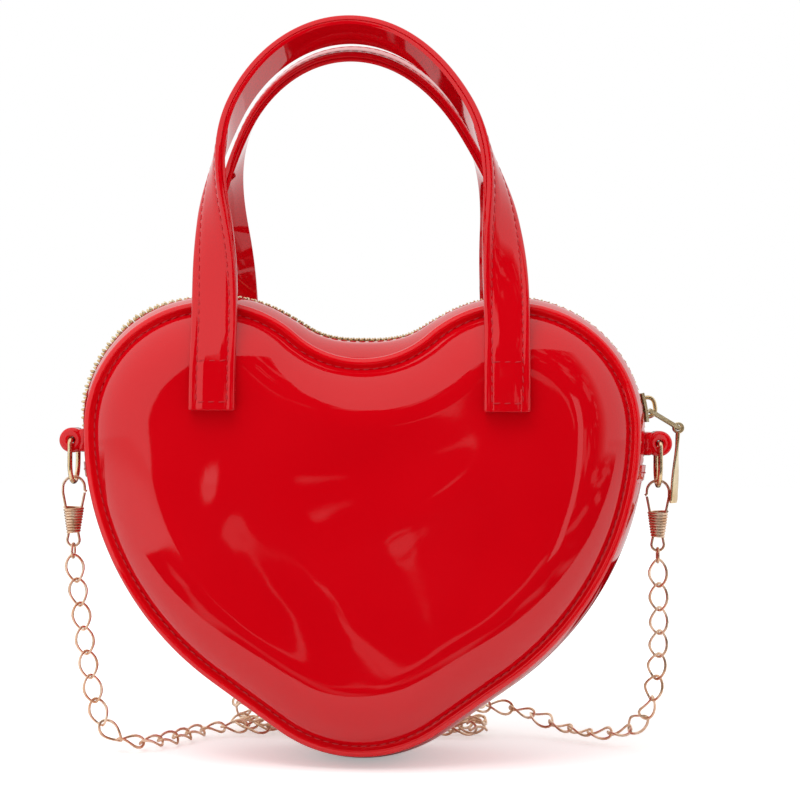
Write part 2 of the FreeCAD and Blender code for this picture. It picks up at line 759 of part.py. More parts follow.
def slider_body():
    """Two curved plates either side of the teeth, joined by the post that parts the rows."""
    body = new_body("slider")
    sketch = new_sketch(body, "slider_section", "XY_Plane")
    wide = "sizes.slider_width / 2"
    narrow = "sizes.slider_post / 2"
    drawn(sketch, (
        (INNER_BOTTOM_RULE, "-" + wide),
        (INNER_TOP_RULE, "-" + wide),
        (INNER_TOP_RULE, "-" + narrow),
        (PLATE_BOTTOM_RULE, "-" + narrow),
        (PLATE_BOTTOM_RULE, "-" + wide),
        (PLATE_TOP_RULE, "-" + wide),
        (PLATE_TOP_RULE, wide),
        (PLATE_BOTTOM_RULE, wide),
        (PLATE_BOTTOM_RULE, narrow),
        (INNER_TOP_RULE, narrow),
        (INNER_TOP_RULE, wide),
        (INNER_BOTTOM_RULE, wide),
    ))
    turned = body.newObject("PartDesign::Revolution", "slider_turned")
    turned.Profile = sketch
    turned.ReferenceAxis = (origin_plane(body, "Y_Axis"), [""])
    turned.Midplane = True
    turned.setExpression("Angle", "sizes.slider_length / " + PLATE_TOP_RULE + " * 180 / pi")
    doc.recompute()
    return body


def slider_bridge():
    """The raised arch on the slider's outer plate, which the pull's link goes through."""
    body = new_body("bridge")
    sketch = new_sketch(body, "bridge_outline", "XZ_Plane")
    foot = PLATE_TOP_RULE
    crown = "(" + foot + " + sizes.bridge_height)"
    half = "sizes.bridge_length / 2"
    drawn(sketch, (
        (foot, "-" + half),
        (crown, "-" + half),
        (crown, half),
        (foot, half),
        (foot, "(" + half + " - sizes.bridge_bar)"),
        ("(" + crown + " - sizes.bridge_bar)", "(" + half + " - sizes.bridge_bar)"),
        ("(" + crown + " - sizes.bridge_bar)", "-(" + half + " - sizes.bridge_bar)"),
        (foot, "-(" + half + " - sizes.bridge_bar)"),
    ))
    pad_both_ways(body, sketch, "bridge_pad", "sizes.bridge_width")
    return body


keep_at(slider_body(), "slider_body", slider_place)
keep_at(slider_bridge(), "slider_bridge", slider_place)

# The pull: a flat link through the bridge, and a long tab rolled round the link's far bar.
plate_top = size("lobe_radius") + size("tooth_top") + size("slider_clearance") + size("slider_plate")
pivot_radius = plate_top + (size("bridge_height") - size("bridge_bar")) / 2
pivot_along = size("link_wire") - size("bridge_length") / 2 + size("bridge_bar")
link_pivot = slider_place.multVec(Vector(pivot_radius, 0, pivot_along))
link_place = Placement(link_pivot, Rotation(BACKWARDS, size("link_droop")))
pull_pivot = link_place.multVec(SIDEWAYS * size("link_length"))


def pull_link():
    """A flat oblong loop, its two end bars a link's length apart."""
    body = new_body("pull_link")
    sketch = new_sketch(body, "pull_link_outline", "XY_Plane")
    bar = "sizes.link_wire / 2"
    half = "sizes.link_width / 2"
    inner_half = "(" + half + " - sizes.link_wire)"
    drawn(sketch, rectangle("-" + bar, "(sizes.link_length + " + bar + ")", "-" + half, half))
    drawn(sketch, rectangle(bar, "(sizes.link_length - " + bar + ")", "-" + inner_half, inner_half))
    pad_both_ways(body, sketch, "pull_link_pad", "sizes.link_wire")
    return body


def pull_tab():
    """A tapered plate that hangs from an eye rolled round the link's bar."""
    body = new_body("pull_tab")
    outline = new_sketch(body, "pull_tab_outline", "YZ_Plane")
    neck = "sizes.pull_neck_width / 2"
    foot = "sizes.pull_width / 2"
    top = "-sizes.pull_eye_bore"
    drawn(outline, (
        ("-" + neck, top),
        ("-" + foot, "-sizes.pull_length"),
        (foot, "-sizes.pull_length"),
        (neck, top),
    ))
    pad_both_ways(body, outline, "pull_tab_plate", "sizes.pull_thickness")
    eye = new_sketch(body, "pull_tab_eye_outline", "XZ_Plane")
    drawn_circle(eye, "sizes.pull_eye_radius")
    pad_both_ways(body, eye, "pull_tab_eye", "sizes.pull_eye_width")
    bore = new_sketch(body, "pull_tab_bore_outline", "XZ_Plane")
    drawn_circle(bore, "sizes.pull_eye_bore")
    bored = pocket_through(body, bore, "pull_tab_bore")
    lowest = bored.Shape.BoundBox.ZMin
    corners = []
    for index, edge in enumerate(bored.Shape.Edges, start=1):
        ends = [vertex.Point for vertex in edge.Vertexes]
        low = all(abs(point.z - lowest) < size("pull_thickness") / 2 for point in ends)
        if low and abs(ends[0].x - ends[-1].x) > size("pull_thickness") / 2:
            corners.append("Edge%d" % index)
    rounding = body.newObject("PartDesign::Fillet", "pull_tab_corners")
    rounding.Base = (bored, corners)
    rounding.setExpression("Radius", "sizes.pull_corner")
    doc.recompute()
    return body


keep_at(pull_link(), "pull_link", link_place)
keep_at(pull_tab(), "pull_tab", Placement(pull_pivot, Rotation()))

# The side tabs: folded loops of sheet on the gusset, just below the ends of the zip.
tab_z = lobe_z - size("tab_drop")
gusset_face_x = side_x + math.sqrt(side_radius**2 - size("tab_drop")**2) + size("gusset_rise")
tab_x = gusset_face_x + size("tab_seat_gap") + size("tab_loop_radius")
tab_place = Placement(Vector(tab_x, 0, tab_z), Rotation())


def tab_body():
    """A round loop with a bore for the ring, and the foot that is sewn to the gusset."""
    body = new_body("tab")
    loop = new_sketch(body, "tab_loop_outline", "XZ_Plane")
    drawn_circle(loop, "sizes.tab_loop_radius")
    pad_both_ways(body, loop, "tab_loop", "sizes.tab_width")
    foot = new_sketch(body, "tab_foot_outline", "XZ_Plane")
    back = "-sizes.tab_loop_radius"
    front = "(sizes.tab_foot_thickness - sizes.tab_loop_radius)"
    half = "sizes.tab_foot_length / 2"
    drawn(foot, rectangle(back, front, "-" + half, half))
    pad_both_ways(body, foot, "tab_foot", "sizes.tab_width")
    bore = new_sketch(body, "tab_bore_outline", "XZ_Plane")
    drawn_circle(bore, "sizes.tab_bore")
    pocket_through(body, bore, "tab_bored")
    return body


right_tab = tab_body()
keep_at(right_tab, "right_tab", tab_place)


def keep_left(piece, label):
    """Keep the mirror image of a piece on the right, which already has its place."""
    copy = mirrored(piece, label, SIDEWAYS)
    copy.Label = label
    subparts.append(copy)
    return copy


keep_left(right_tab, "left_tab")


def tube(edges, radius):
    """A round wire along straight edges and arcs that meet smoothly, one solid."""
    solids = []
    for edge in edges:
        start = edge.valueAt(edge.FirstParameter)
        travel = edge.tangentAt(edge.FirstParameter)
        face = Part.Face(Part.Wire(Part.makeCircle(radius, start, travel)))
        if isinstance(edge.Curve, Part.Line):
            solids.append(face.extrude(travel * edge.Length))
        else:
            turn = math.degrees(edge.LastParameter - edge.FirstParameter)
            solids.append(face.revolve(edge.Curve.Center, edge.Curve.Axis, turn))
    return solids[0].multiFuse(solids[1:]).removeSplitter()


def straight(start, end):
    return Part.LineSegment(start, end).toShape()


def bend_through(start, middle, end):
    return Part.Arc(start, middle, end).toShape()


def corner_arc(center, radius, first, last, across):
    """An arc in the plane of Z and one level direction, between two angles from that direction."""
    def point(angle):
        return center + across * (radius * math.cos(angle)) + UPWARDS * (radius * math.sin(angle))
    return bend_through(point(first), point((first + last) / 2), point(last))


def ring_shape():
    """A D-ring: a straight bar through the tab, two small corners and a round lower end."""
    half = size("ring_width") / 2
    corner = size("ring_corner")
    bar_end = half - corner
    low = half - size("ring_height")
    across = BACKWARDS
    return tube([
        straight(across * -bar_end, across * bar_end),
        corner_arc(across * bar_end - UPWARDS * corner, corner, math.pi / 2, 0, across),
        straight(across * half - UPWARDS * corner, across * half + UPWARDS * low),
        corner_arc(UPWARDS * low, half, 0, -math.pi / 2, across),
        corner_arc(UPWARDS * low, half, -math.pi / 2, -math.pi, across),
        straight(across * -half + UPWARDS * low, across * -half - UPWARDS * corner),
        corner_arc(across * -bar_end - UPWARDS * corner, corner, math.pi, math.pi / 2, across),
    ], size("ring_wire") / 2)


def keep_shape_at(shape, label, place):
    """Keep a worked-out shape that is drawn about its own pivot."""
    piece = doc.addObject("Part::Feature", label)
    piece.Shape = shape
    return keep_at(piece, label, place)


keep_left(keep_shape_at(ring_shape(), "right_ring", tab_place), "left_ring")

# The wire clips, drawn about the top of the loop, with the gate on the side of the bag.
ring_bottom = tab_z - size("ring_height")
clip_seat = (size("ring_wire") + size("clip_wire_thickness")) / 2 + size("clip_seat_gap")
clip_place = Placement(Vector(tab_x, 0, ring_bottom + clip_seat), Rotation())
loop_half = size("clip_loop_width") / 2
neck_half = size("clip_neck_width") / 2
neck_z = -size("clip_loop_height")
coil_bottom = neck_z - size("coil_pitch") * size("coil_turns")


def neck_bends(side, top_z):
    """Two arcs that bring a leg in from the loop's width to the neck, from the top down."""
    width = loop_half - neck_half
    drop = top_z - neck_z
    radius = (width**2 + drop**2) / (4 * width)
    turn = 2 * math.atan2(width, drop)
    across = SIDEWAYS * side
    upper = across * (loop_half - radius) + UPWARDS * top_z
    lower = across * (neck_half + radius) + UPWARDS * neck_z
    return [
        corner_arc(upper, radius, 0, -turn, across),
        corner_arc(lower, radius, math.pi - turn, math.pi, across),
    ]


def clip_wire():
    """One bent wire: nose, loop, neck, eye and the leg that comes back up the neck."""
    bend_top = neck_z + size("clip_neck_bend") + size("clip_nose")
    eye = size("clip_eye_radius")
    bend = size("clip_eye_bend")
    reach = math.sqrt((eye + bend)**2 - (neck_half + bend)**2)
    eye_center = UPWARDS * (coil_bottom - reach)
    lean = math.atan2(reach, neck_half + bend)
    loop_center = UPWARDS * -loop_half
    nose_end = SIDEWAYS * -loop_half + UPWARDS * (-loop_half - size("clip_nose"))
    right_neck = SIDEWAYS * neck_half
    left_neck = SIDEWAYS * -neck_half
    edges = [straight(nose_end, SIDEWAYS * -loop_half + loop_center)]
    edges.append(corner_arc(loop_center, loop_half, math.pi, math.pi / 2, SIDEWAYS))
    edges.append(corner_arc(loop_center, loop_half, math.pi / 2, 0, SIDEWAYS))
    edges.append(straight(SIDEWAYS * loop_half + loop_center, SIDEWAYS * loop_half + UPWARDS * bend_top))
    edges += neck_bends(1, bend_top)
    edges.append(straight(right_neck + UPWARDS * neck_z, right_neck + UPWARDS * coil_bottom))
    right_bend = SIDEWAYS * (neck_half + bend) + UPWARDS * coil_bottom
    edges.append(corner_arc(right_bend, bend, math.pi, math.pi + lean, SIDEWAYS))
    edges.append(corner_arc(eye_center, eye, lean, -math.pi / 2, SIDEWAYS))
    edges.append(corner_arc(eye_center, eye, -math.pi / 2, -math.pi - lean, SIDEWAYS))
    left_bend = SIDEWAYS * -(neck_half + bend) + UPWARDS * coil_bottom
    edges.append(corner_arc(left_bend, bend, -lean, 0, SIDEWAYS))
    edges.append(straight(left_neck + UPWARDS * coil_bottom, left_neck + UPWARDS * neck_z))
    return tube(edges, size("clip_wire_thickness") / 2), eye_center.z - eye


def gate_wire():
    """The sprung gate: from above the neck out to the loop's side and up to the nose."""
    gate_top = -loop_half - size("clip_nose") - 2 * size("gate_gap")
    bend_top = neck_z + size("clip_neck_bend") + size("clip_nose")
    edges = neck_bends(-1, bend_top)
    side = SIDEWAYS * -loop_half
    edges.insert(0, straight(side + UPWARDS * gate_top, side + UPWARDS * bend_top))
    gate = tube(edges, size("clip_wire_thickness") / 2)
    gate.translate(UPWARDS * size("gate_gap"))
    return gate


def biarc(start, start_travel, end, end_travel):
    """Two arcs that leave and arrive in the given directions."""
    span = end - start
    both = start_travel + end_travel
    twice = 2 * (start_travel.dot(end_travel) - 1)
    reach = span.dot(both)
    handle = (reach - math.sqrt(reach**2 - twice * span.dot(span))) / twice
    first_apex = start + start_travel * handle
    last_apex = end - end_travel * handle
    joint = (first_apex + last_apex) / 2
    arcs = []
    for first, apex, last in ((start, first_apex, joint), (joint, last_apex, end)):
        chord = (first + last) / 2
        height = (apex - chord).Length
        half_turn = math.atan2(height, (last - first).Length / 2)
        share = math.tan(half_turn / 2) / math.tan(half_turn)
        arcs.append(bend_through(first, chord + (apex - chord) * share, last))
    return arcs


def coil_shape():
    """The wire wound round the neck, narrowing downwards, one unbroken tube."""
    turns = size("coil_turns")
    height = size("coil_pitch") * turns
    narrowing = size("coil_top_radius") - size("coil_bottom_radius")

    def place(share):
        angle = 2 * math.pi * turns * share
        radius = size("coil_top_radius") - narrowing * share
        return Vector(radius * math.cos(angle), radius * math.sin(angle), neck_z - height * share)

    def travel(share):
        angle = 2 * math.pi * turns * share
        radius = size("coil_top_radius") - narrowing * share
        around = Vector(-math.sin(angle), math.cos(angle), 0) * (radius * 2 * math.pi * turns)
        inward = Vector(math.cos(angle), math.sin(angle), 0) * -narrowing
        return (around + inward - UPWARDS * height).normalize()

    spans = int(turns * COIL_SPANS_PER_TURN)
    edges = []
    for index in range(spans):
        first = index / spans
        last = (index + 1) / spans
        edges += biarc(place(first), travel(first), place(last), travel(last))
    path = Part.Wire(edges)
    shell = Part.BRepOffsetAPI.MakePipeShell(path)
    shell.add(Part.Wire(Part.makeCircle(size("coil_wire") / 2, place(0), travel(0))))
    shell.build()
    shell.makeSolid()
    points = path.discretize(spans * COIL_SPANS_PER_TURN)
    turn_points = COIL_SPANS_PER_TURN * COIL_SPANS_PER_TURN
    nearest = min(
        (points[low] - points[high]).Length
        for low in range(len(points))
        for high in range(low + turn_points // 2, len(points))
    )
    print("least gap between the coil's turns %.2f mm" % (nearest - size("coil_wire")))
    return shell.shape()


clip_shape, clip_bottom = clip_wire()
keep_left(keep_shape_at(clip_shape, "right_clip_wire", clip_place), "left_clip_wire")
keep_left(keep_shape_at(gate_wire(), "right_clip_gate", clip_place), "left_clip_gate")
keep_left(keep_shape_at(coil_shape(), "right_clip_coil", clip_place), "left_clip_coil")

# A jump ring joins each clip's eye to the chain's first link.
jump_top = clip_bottom + (size("clip_wire_thickness") + size("jump_wire")) / 2 + size("jump_slack")
jump_center = UPWARDS * (jump_top - size("jump_radius"))
jump_place = Placement(jump_center, Rotation(UPWARDS, SIDEWAYS))
jump_ring = doc.addObject("Part::Torus", "jump_ring")
jump_ring.setExpression("Radius1", "sizes.jump_radius")
jump_ring.setExpression("Radius2", "sizes.jump_wire / 2")
keep_at(jump_ring, "right_jump_ring", clip_place * jump_place)
keep_left(jump_ring, "left_jump_ring")


# The chain: links along its two free stretches, and the rest folded in rows behind the bag.
link_half_length = (size("link_outer_length") - size("chain_wire")) / 2
link_half_width = (size("link_outer_width") - size("chain_wire")) / 2
link_straight = link_half_length - link_half_width


def chain_link():
    """An oval link lying in the XY plane with its length along X."""
    lengthwise = SIDEWAYS * link_straight
    sideways = BACKWARDS * link_half_width
    tip = SIDEWAYS * link_half_length
    return tube([
        straight(sideways * -1 - lengthwise, lengthwise - sideways),
        bend_through(lengthwise - sideways, tip, lengthwise + sideways),
        straight(lengthwise + sideways, sideways - lengthwise),
        bend_through(sideways - lengthwise, tip * -1, sideways * -1 - lengthwise),
    ], size("chain_wire") / 2)


def rounded_route(points):
    """A wire of straight runs joined by arcs as large as the runs allow."""
    run_share = 0.45
    edges = []
    last = points[0]
    for before, corner, after in zip(points, points[1:], points[2:]):
        arriving = (corner - before).normalize()
        leaving = (after - corner).normalize()
        trim = run_share * min((corner - before).Length, (after - corner).Length)
        start = corner - arriving * trim
        end = corner + leaving * trim
        chord = (start + end) / 2
        half_turn = arriving.getAngle(leaving) / 2
        share = math.tan(half_turn / 2) / math.tan(half_turn)
        edges.append(straight(last, start))
        edges.append(bend_through(start, chord + (corner - chord) * share, end))
        print("chain bend radius %.1f mm" % (trim / math.tan(half_turn)))
        last = end
    edges.append(straight(last, points[-1]))
    return Part.Wire(edges)


def links_between(joints, first_index):
    """Links from joint to joint, every other one turned a quarter turn about its length."""
    template = chain_link()
    links = []
    for index, (start, end) in enumerate(zip(joints, joints[1:]), start=first_index):
        along = (end - start).normalize()
        level = BACKWARDS if abs(along.z) > STEEP_SHARE else along.cross(UPWARDS)
        normal = level.normalize() if index % 2 == 0 else along.cross(level).normalize()
        link = template.copy()
        link.Placement = Placement((start + end) / 2, Rotation(along, normal.cross(along), normal, "XZY"))
        links.append(link)
    return links


def stretch_joints(points):
    """Joints of an even number of links along a route, no further apart than the pitch."""
    wire = rounded_route(points)
    pairs = math.ceil(wire.Length / (2 * size("link_pitch")))
    return wire.discretize(2 * pairs + 1)


def hank_joints(start):
    """Joints of the folded rows: there and back on the floor, then up and back on top."""
    pitch = size("link_pitch")
    joints = [start]

    def go(direction, count):
        for step in range(count):
            joints.append(joints[-1] + direction * pitch)

    def turn(direction):
        joints.append(joints[-1] + direction * size("hank_row_pitch"))

    heading = SIDEWAYS
    for row in range(HANK_BOTTOM_ROWS):
        last_row = row == HANK_BOTTOM_ROWS - 1
        go(heading, HANK_ROW_LINKS - 1 if last_row else HANK_ROW_LINKS)
        turn(UPWARDS if last_row else BACKWARDS)
        heading = heading * -1
    for row in range(HANK_TOP_ROWS):
        go(heading, HANK_ROW_LINKS - 1 if row == 0 else HANK_ROW_LINKS)
        if row < HANK_TOP_ROWS - 1:
            turn(BACKWARDS * -1)
        heading = heading * -1
    return joints


jump_bottom = clip_place.Base.z + jump_top - 2 * size("jump_radius")
link_seat = (size("jump_wire") + size("chain_wire")) / 2 + size("jump_slack")
chain_top = jump_bottom + link_seat - link_half_length + size("link_pitch") / 2
floor = UPWARDS * floor_level
resting = floor + UPWARDS * (size("link_outer_width") / 2)
hank_start = Vector(size("hank_left_end"), size("hank_front"), 0) + resting
hank = hank_joints(hank_start)


def free_stretch(side, route, hank_end):
    """The joints of the chain from below one clip, along its route, to an end of the folded part."""
    points = [Vector(*point) + floor for point in route]
    return stretch_joints([Vector(side * tab_x, 0, chain_top)] + points + [hank_end])


left_joints = free_stretch(-1, LEFT_ROUTE, hank[0])
right_joints = free_stretch(1, RIGHT_ROUTE, hank[-1])
keep_shape(Part.makeCompound(links_between(left_joints, 0)), "chain_left")
keep_shape(Part.makeCompound(links_between(hank, 0)), "chain_folded")
keep_shape(Part.makeCompound(links_between(right_joints, 0)), "chain_right")
chain_links = len(left_joints) + len(hank) + len(right_joints) - 3
print("chain of %d links, %.0f mm" % (chain_links, chain_links * size("link_pitch")))

# The handles, each drawn in a plane that leans in from the hinge line where the strap leaves the panel.
strap_thickness = size("strap_top_layer") + size("strap_gap") + size("strap_backing")
strap_face = panel_face + size("strap_seat_gap") + strap_thickness
hinge_z = size("heart_height") - size("strap_hinge_drop")
handle_top = size("heart_height") + size("handle_rise") + strap_thickness / 2
handle_half = size("handle_spread") / 2
handle_leg = size("handle_leg")
hinge_line = Vector(0, strap_thickness / 2 - strap_face, hinge_z)


class Handle:
    """The middle line of a handle: upright legs and half an ellipse in a leaning plane, drawn in front."""

    def __init__(self, lean_degrees, top):
        lean = math.radians(lean_degrees)
        self.up = Vector(0, math.sin(lean), math.cos(lean))
        self.front = Vector(0, -math.cos(lean), math.sin(lean))
        self.top = (top - hinge_z) / math.cos(lean)
        self.arch_rise = self.top - handle_leg

    def point(self, way):
        """Place from the hinge line, outward normal and twist on the right half, at a way up the handle."""
        angle = math.pi / 2 * max(way - handle_leg, 0) / self.arch_rise
        height = min(way, handle_leg) + self.arch_rise * math.sin(angle)
        place = SIDEWAYS * (handle_half * math.cos(angle)) + self.up * height
        outward = SIDEWAYS * (self.arch_rise * math.cos(angle)) + self.up * (handle_half * math.sin(angle))
        share = (height - size("twist_start")) / (size("twist_end") - size("twist_start"))
        return place, outward.normalize(), math.pi / 2 * eased(share)


def eased(share):
    """0 below 0, 1 above 1 and a smooth rise between them."""
    held = min(max(share, 0), 1)
    return held * held * (3 - 2 * held)


def handle_section(handle, way, low, high, mirror):
    """A strap layer's four corners across its width, between two heights in its thickness.

    At the foot the section is level, to meet the sewn end below it. Higher up it sways to the left.
    """
    place, outward, twist = handle.point(way)
    edgewise = outward * -math.cos(twist) + handle.front * math.sin(twist)
    facing = handle.front * math.cos(twist) + outward * math.sin(twist)
    sway = size("handle_sway") * eased(place.dot(handle.up) / handle.top)
    place = hinge_line + place
    if way == 0:
        place = place + UPWARDS * size("body_gap")
        edgewise = SIDEWAYS * -1
        facing = BACKWARDS * -1
    half = edgewise * (size("strap_width") / 2)
    corners = [
        place + half + facing * low,
        place + half + facing * high,
        place - half + facing * high,
        place - half + facing * low,
    ]
    if mirror:
        corners = [Vector(-corner.x, corner.y, corner.z) for corner in corners]
    corners = [corner - SIDEWAYS * sway for corner in corners]
    return Part.makePolygon(corners + corners[:1])


def handle_layer(handle, low, high):
    """One layer of the arched strap, carried through its sections from foot to foot."""
    shares = [index / HANDLE_HALF_SECTIONS for index in range(HANDLE_HALF_SECTIONS + 1)]
    stations = [handle.top * share for share in shares]
    right = [handle_section(handle, way, low, high, False) for way in stations]
    left = [handle_section(handle, way, low, high, True) for way in stations[:-1]]
    return Part.makeLoft(right + left[::-1], True, True)


def strap_end(side, near, far):
    """A rule-bound block: the end of a strap layer, sewn to the panel below the hinge line."""
    block = doc.addObject("Part::Box", "strap_end")
    block.setExpression("Length", "sizes.strap_width")
    block.setExpression("Width", far + " - " + near)
    block.setExpression("Height", "sizes.strap_foot_drop - sizes.strap_hinge_drop")
    block.setExpression("Placement.Base.x", "%d * sizes.handle_spread / 2 - sizes.strap_width / 2" % side)
    block.setExpression("Placement.Base.y", "-" + far)
    block.setExpression("Placement.Base.z", "sizes.heart_height - sizes.strap_foot_drop")
    return block


STRAP_SEAT_RULE = "(sizes.bag_depth / 2 + sizes.panel_rise + sizes.strap_seat_gap)"
BACKING_RULE = "(" + STRAP_SEAT_RULE + " + sizes.strap_backing)"
TOP_LAYER_RULE = "(" + BACKING_RULE + " + sizes.strap_gap)"
STRAP_FACE_RULE = "(" + TOP_LAYER_RULE + " + sizes.strap_top_layer)"
backing_top = size("strap_backing") - strap_thickness / 2
strap_layers = (
    ("strap", backing_top + size("strap_gap"), strap_thickness / 2, TOP_LAYER_RULE, STRAP_FACE_RULE),
    ("backing", -strap_thickness / 2, backing_top, STRAP_SEAT_RULE, BACKING_RULE),
)
front_handle = Handle(size("handle_lean"), handle_top)
back_handle = Handle(size("back_handle_lean"), handle_top - size("back_handle_drop"))
for layer_name, low, high, near_rule, far_rule in strap_layers:
    keep_shape(handle_layer(front_handle, low, high), "front_handle_" + layer_name)
    back_layer = handle_layer(back_handle, low, high).mirror(Vector(), BACKWARDS)
    keep_shape(back_layer, "back_handle_" + layer_name)
    ends = doc.addObject("Part::Compound", "front_" + layer_name + "_ends")
    ends.Links = [strap_end(1, near_rule, far_rule), strap_end(-1, near_rule, far_rule)]
    keep(ends, "front_" + layer_name + "_ends")
    back_ends = mirrored(ends, "back_" + layer_name + "_ends", BACKWARDS)
    back_ends.Label = "back_" + layer_name + "_ends"
    subparts.append(back_ends)

doc.recompute()
for item in doc.Objects:
    if "Invalid" in item.State or "Error" in item.State:
        raise RuntimeError("failed: " + item.Label)
for piece in subparts:
    if piece.Shape.isNull() or not piece.Shape.isValid():
        raise RuntimeError("bad shape: " + piece.Label)

os.makedirs("parts", exist_ok=True)
for piece in subparts:
    piece.Shape.exportStep("parts/" + piece.Label + ".step")
print("%d pieces" % len(subparts))
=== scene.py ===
import math
import types

import bmesh
import bpy
import numpy as np
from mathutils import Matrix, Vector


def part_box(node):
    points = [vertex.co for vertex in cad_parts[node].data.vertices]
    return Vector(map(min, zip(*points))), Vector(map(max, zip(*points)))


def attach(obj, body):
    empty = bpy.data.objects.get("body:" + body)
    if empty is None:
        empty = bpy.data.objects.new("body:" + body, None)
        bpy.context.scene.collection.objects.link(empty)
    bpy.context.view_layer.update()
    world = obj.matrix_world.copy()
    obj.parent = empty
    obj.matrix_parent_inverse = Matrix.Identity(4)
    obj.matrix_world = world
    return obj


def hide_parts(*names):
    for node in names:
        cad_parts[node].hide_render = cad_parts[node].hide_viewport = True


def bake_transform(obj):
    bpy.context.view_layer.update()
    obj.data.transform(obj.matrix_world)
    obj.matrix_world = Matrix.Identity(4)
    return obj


bl_info = {
    "name": "Heart hand bag",
    "version": (1, 0, 0),
    "blender": (4, 5, 0),
    "location": "3D View > Sidebar > Heart bag",
    "description": "Builds a heart shaped patent hand bag with a zip, handles and a clip-on chain",
    "category": "Add Mesh",
}

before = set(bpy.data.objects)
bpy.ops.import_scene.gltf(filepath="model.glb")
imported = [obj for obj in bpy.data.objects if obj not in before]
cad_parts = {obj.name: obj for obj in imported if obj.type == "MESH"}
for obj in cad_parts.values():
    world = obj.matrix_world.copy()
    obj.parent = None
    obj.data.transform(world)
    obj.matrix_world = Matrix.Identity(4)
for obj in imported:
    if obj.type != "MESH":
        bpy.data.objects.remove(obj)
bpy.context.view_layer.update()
MM = 0.001
SIDES = (("front", -1), ("back", 1))
HANDS = (("left", -1), ("right", 1))


def linear(hex_code):
    """An sRGB hex colour as linear red, green, blue and a full alpha."""
    shares = np.array([int(hex_code[i:i + 2], 16) for i in (1, 3, 5)]) / 255
    low = shares / 12.92
    high = ((shares + 0.055) / 1.055) ** 2.4
    return (*np.where(shares <= 0.04045, low, high).tolist(), 1.0)


def length(name, description, millimetres):
    """A length that the user may change, kept in metres."""
    return bpy.props.FloatProperty(
        name=name, description=description, default=millimetres * MM, unit="LENGTH", precision=4
    )


def colour(name, description, hex_code):
    """A colour that the user may change, kept as linear values."""
    return bpy.props.FloatVectorProperty(
        name=name, description=description, default=linear(hex_code), size=4, subtype="COLOR", min=0, max=1
    )


class BagSizes(bpy.types.PropertyGroup):
    """The bag's lengths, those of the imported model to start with."""

    heart_width: length("Heart width", "Across both lobes, piping included", 200)
    heart_height: length("Heart height", "From the tip to the lobes' tops", 163)
    lobe_radius: length("Lobe radius", "Radius of the two lobes", 46)
    cleft_depth: length("Cleft depth", "From the lobes' tops down to the cleft", 20.4)
    tip_radius: length("Tip radius", "Radius of the tip", 50)
    tip_drop: length("Tip drop", "From the handles' top down to the tip", 263)
    half_depth: length("Half depth", "From the middle to the piping's middle", 28)
    piping_radius: length("Piping radius", "Radius of the covered cord", 2)
    face_inset: length("Face inset", "From the outline in to the face's edge", 3.2)
    face_rise: length("Face rise", "How far the padded face stands in front of the piping", 13)
    seam: length("Seam", "From the face's edge to the stitch line", 0.8)
    border: length("Border", "From the face's edge to where it starts to swell", 0.9)
    border_rise: length("Border rise", "How far the border stands in front of the piping's middle", 1)
    dome_run: length("Dome run", "Over how much of the face its edge rounds off", 22)
    gusset_edge: length("Gusset edge", "From the middle to the gusset's edge", 25.75)
    gusset_rise: length("Gusset rise", "How far the gusset stands outside the outline", 4.5)
    gusset_sink: length("Gusset sink", "How far the gusset's edge lies inside the outline", 2)
    gusset_wall: length("Gusset wall", "Thickness of the gusset and the zip's strips", 1.6)
    join_drop: length("Join drop", "From the lobes' middles down to where strips and gusset join", 12)
    strip_edge: length("Strip edge", "From the middle to the strips' folded edges", 7.5)
    cleft_lift: length("Cleft lift", "How far the zip bridges the cleft above the outline", 4.5)
    lobe_lift: length("Lobe lift", "How much prouder the closed zip stands on the left lobe", 3.2)
    tooth_pitch: length("Tooth pitch", "From tooth to tooth of one row", 2.6)
    strap_width: length("Strap width", "Width of the handles' straps", 16)
    strap_thickness: length("Strap thickness", "Thickness of a strap, both layers", 3.9)
    strap_spread: length("Strap spread", "Between the middles of a handle's ends", 103.5)
    strap_foot: length("Strap foot", "Height of the sewn ends above the tip", 123.5)
    strap_hinge: length("Strap hinge", "Height where a handle leaves the face, above the tip", 150)
    handle_leg: length("Handle leg", "The upright run of a handle below its arch", 45)
    handle_sway: length("Handle sway", "How far the handles' tops stand to the left", 6)
    back_drop: length("Back drop", "How much lower the back handle's top is", 6)
    stitch_pitch: length("Stitch pitch", "From stitch to stitch", 3.4)
    thread: length("Thread", "Thickness of the sewing thread", 0.52)
    link_length: length("Link length", "Outer length of a chain link", 11.4)
    link_width: length("Link width", "Outer width of a chain link", 7.6)
    link_wire: length("Link wire", "Thickness of the chain's wire", 1.05)
    link_pitch: length("Link pitch", "From link to link", 9.1)


class BagColours(bpy.types.PropertyGroup):
    """The bag's colours."""

    patent: colour("Patent", "The sheet of the faces, gusset and straps", "#C90310")
    patent_deep: colour("Patent, deep", "Where the sheet is a little darker", "#BE000C")
    piping: colour("Piping", "The sheet over the piping", "#D9040F")
    thread: colour("Thread", "The sewing thread", "#CC1420")
    tape: colour("Tape", "The zip's tapes", "#A80A14")
    lining: colour("Lining", "The cloth inside", "#7A0C12")
    gold: colour("Gold", "The plated fittings", "#F6E3BC")
    gold_deep: colour("Gold, deep", "Where the plating is darker", "#E2C290")
    rose_gold: colour("Rose gold", "The plated chain", "#F6DCC2")
    rose_gold_deep: colour("Rose gold, deep", "Where the chain's plating is darker", "#DDB08C")
    floor: colour("Floor", "The pale floor", "#F4F3F2")


# Curves and shapes


def smooth(share):
    """0 below 0, 1 above 1 and a smooth rise between them."""
    held = np.clip(share, 0, 1)
    return held * held * (3 - 2 * held)


def unit(vectors):
    """Vectors of length 1 along the last axis."""
    return vectors / np.linalg.norm(vectors, axis=-1, keepdims=True)


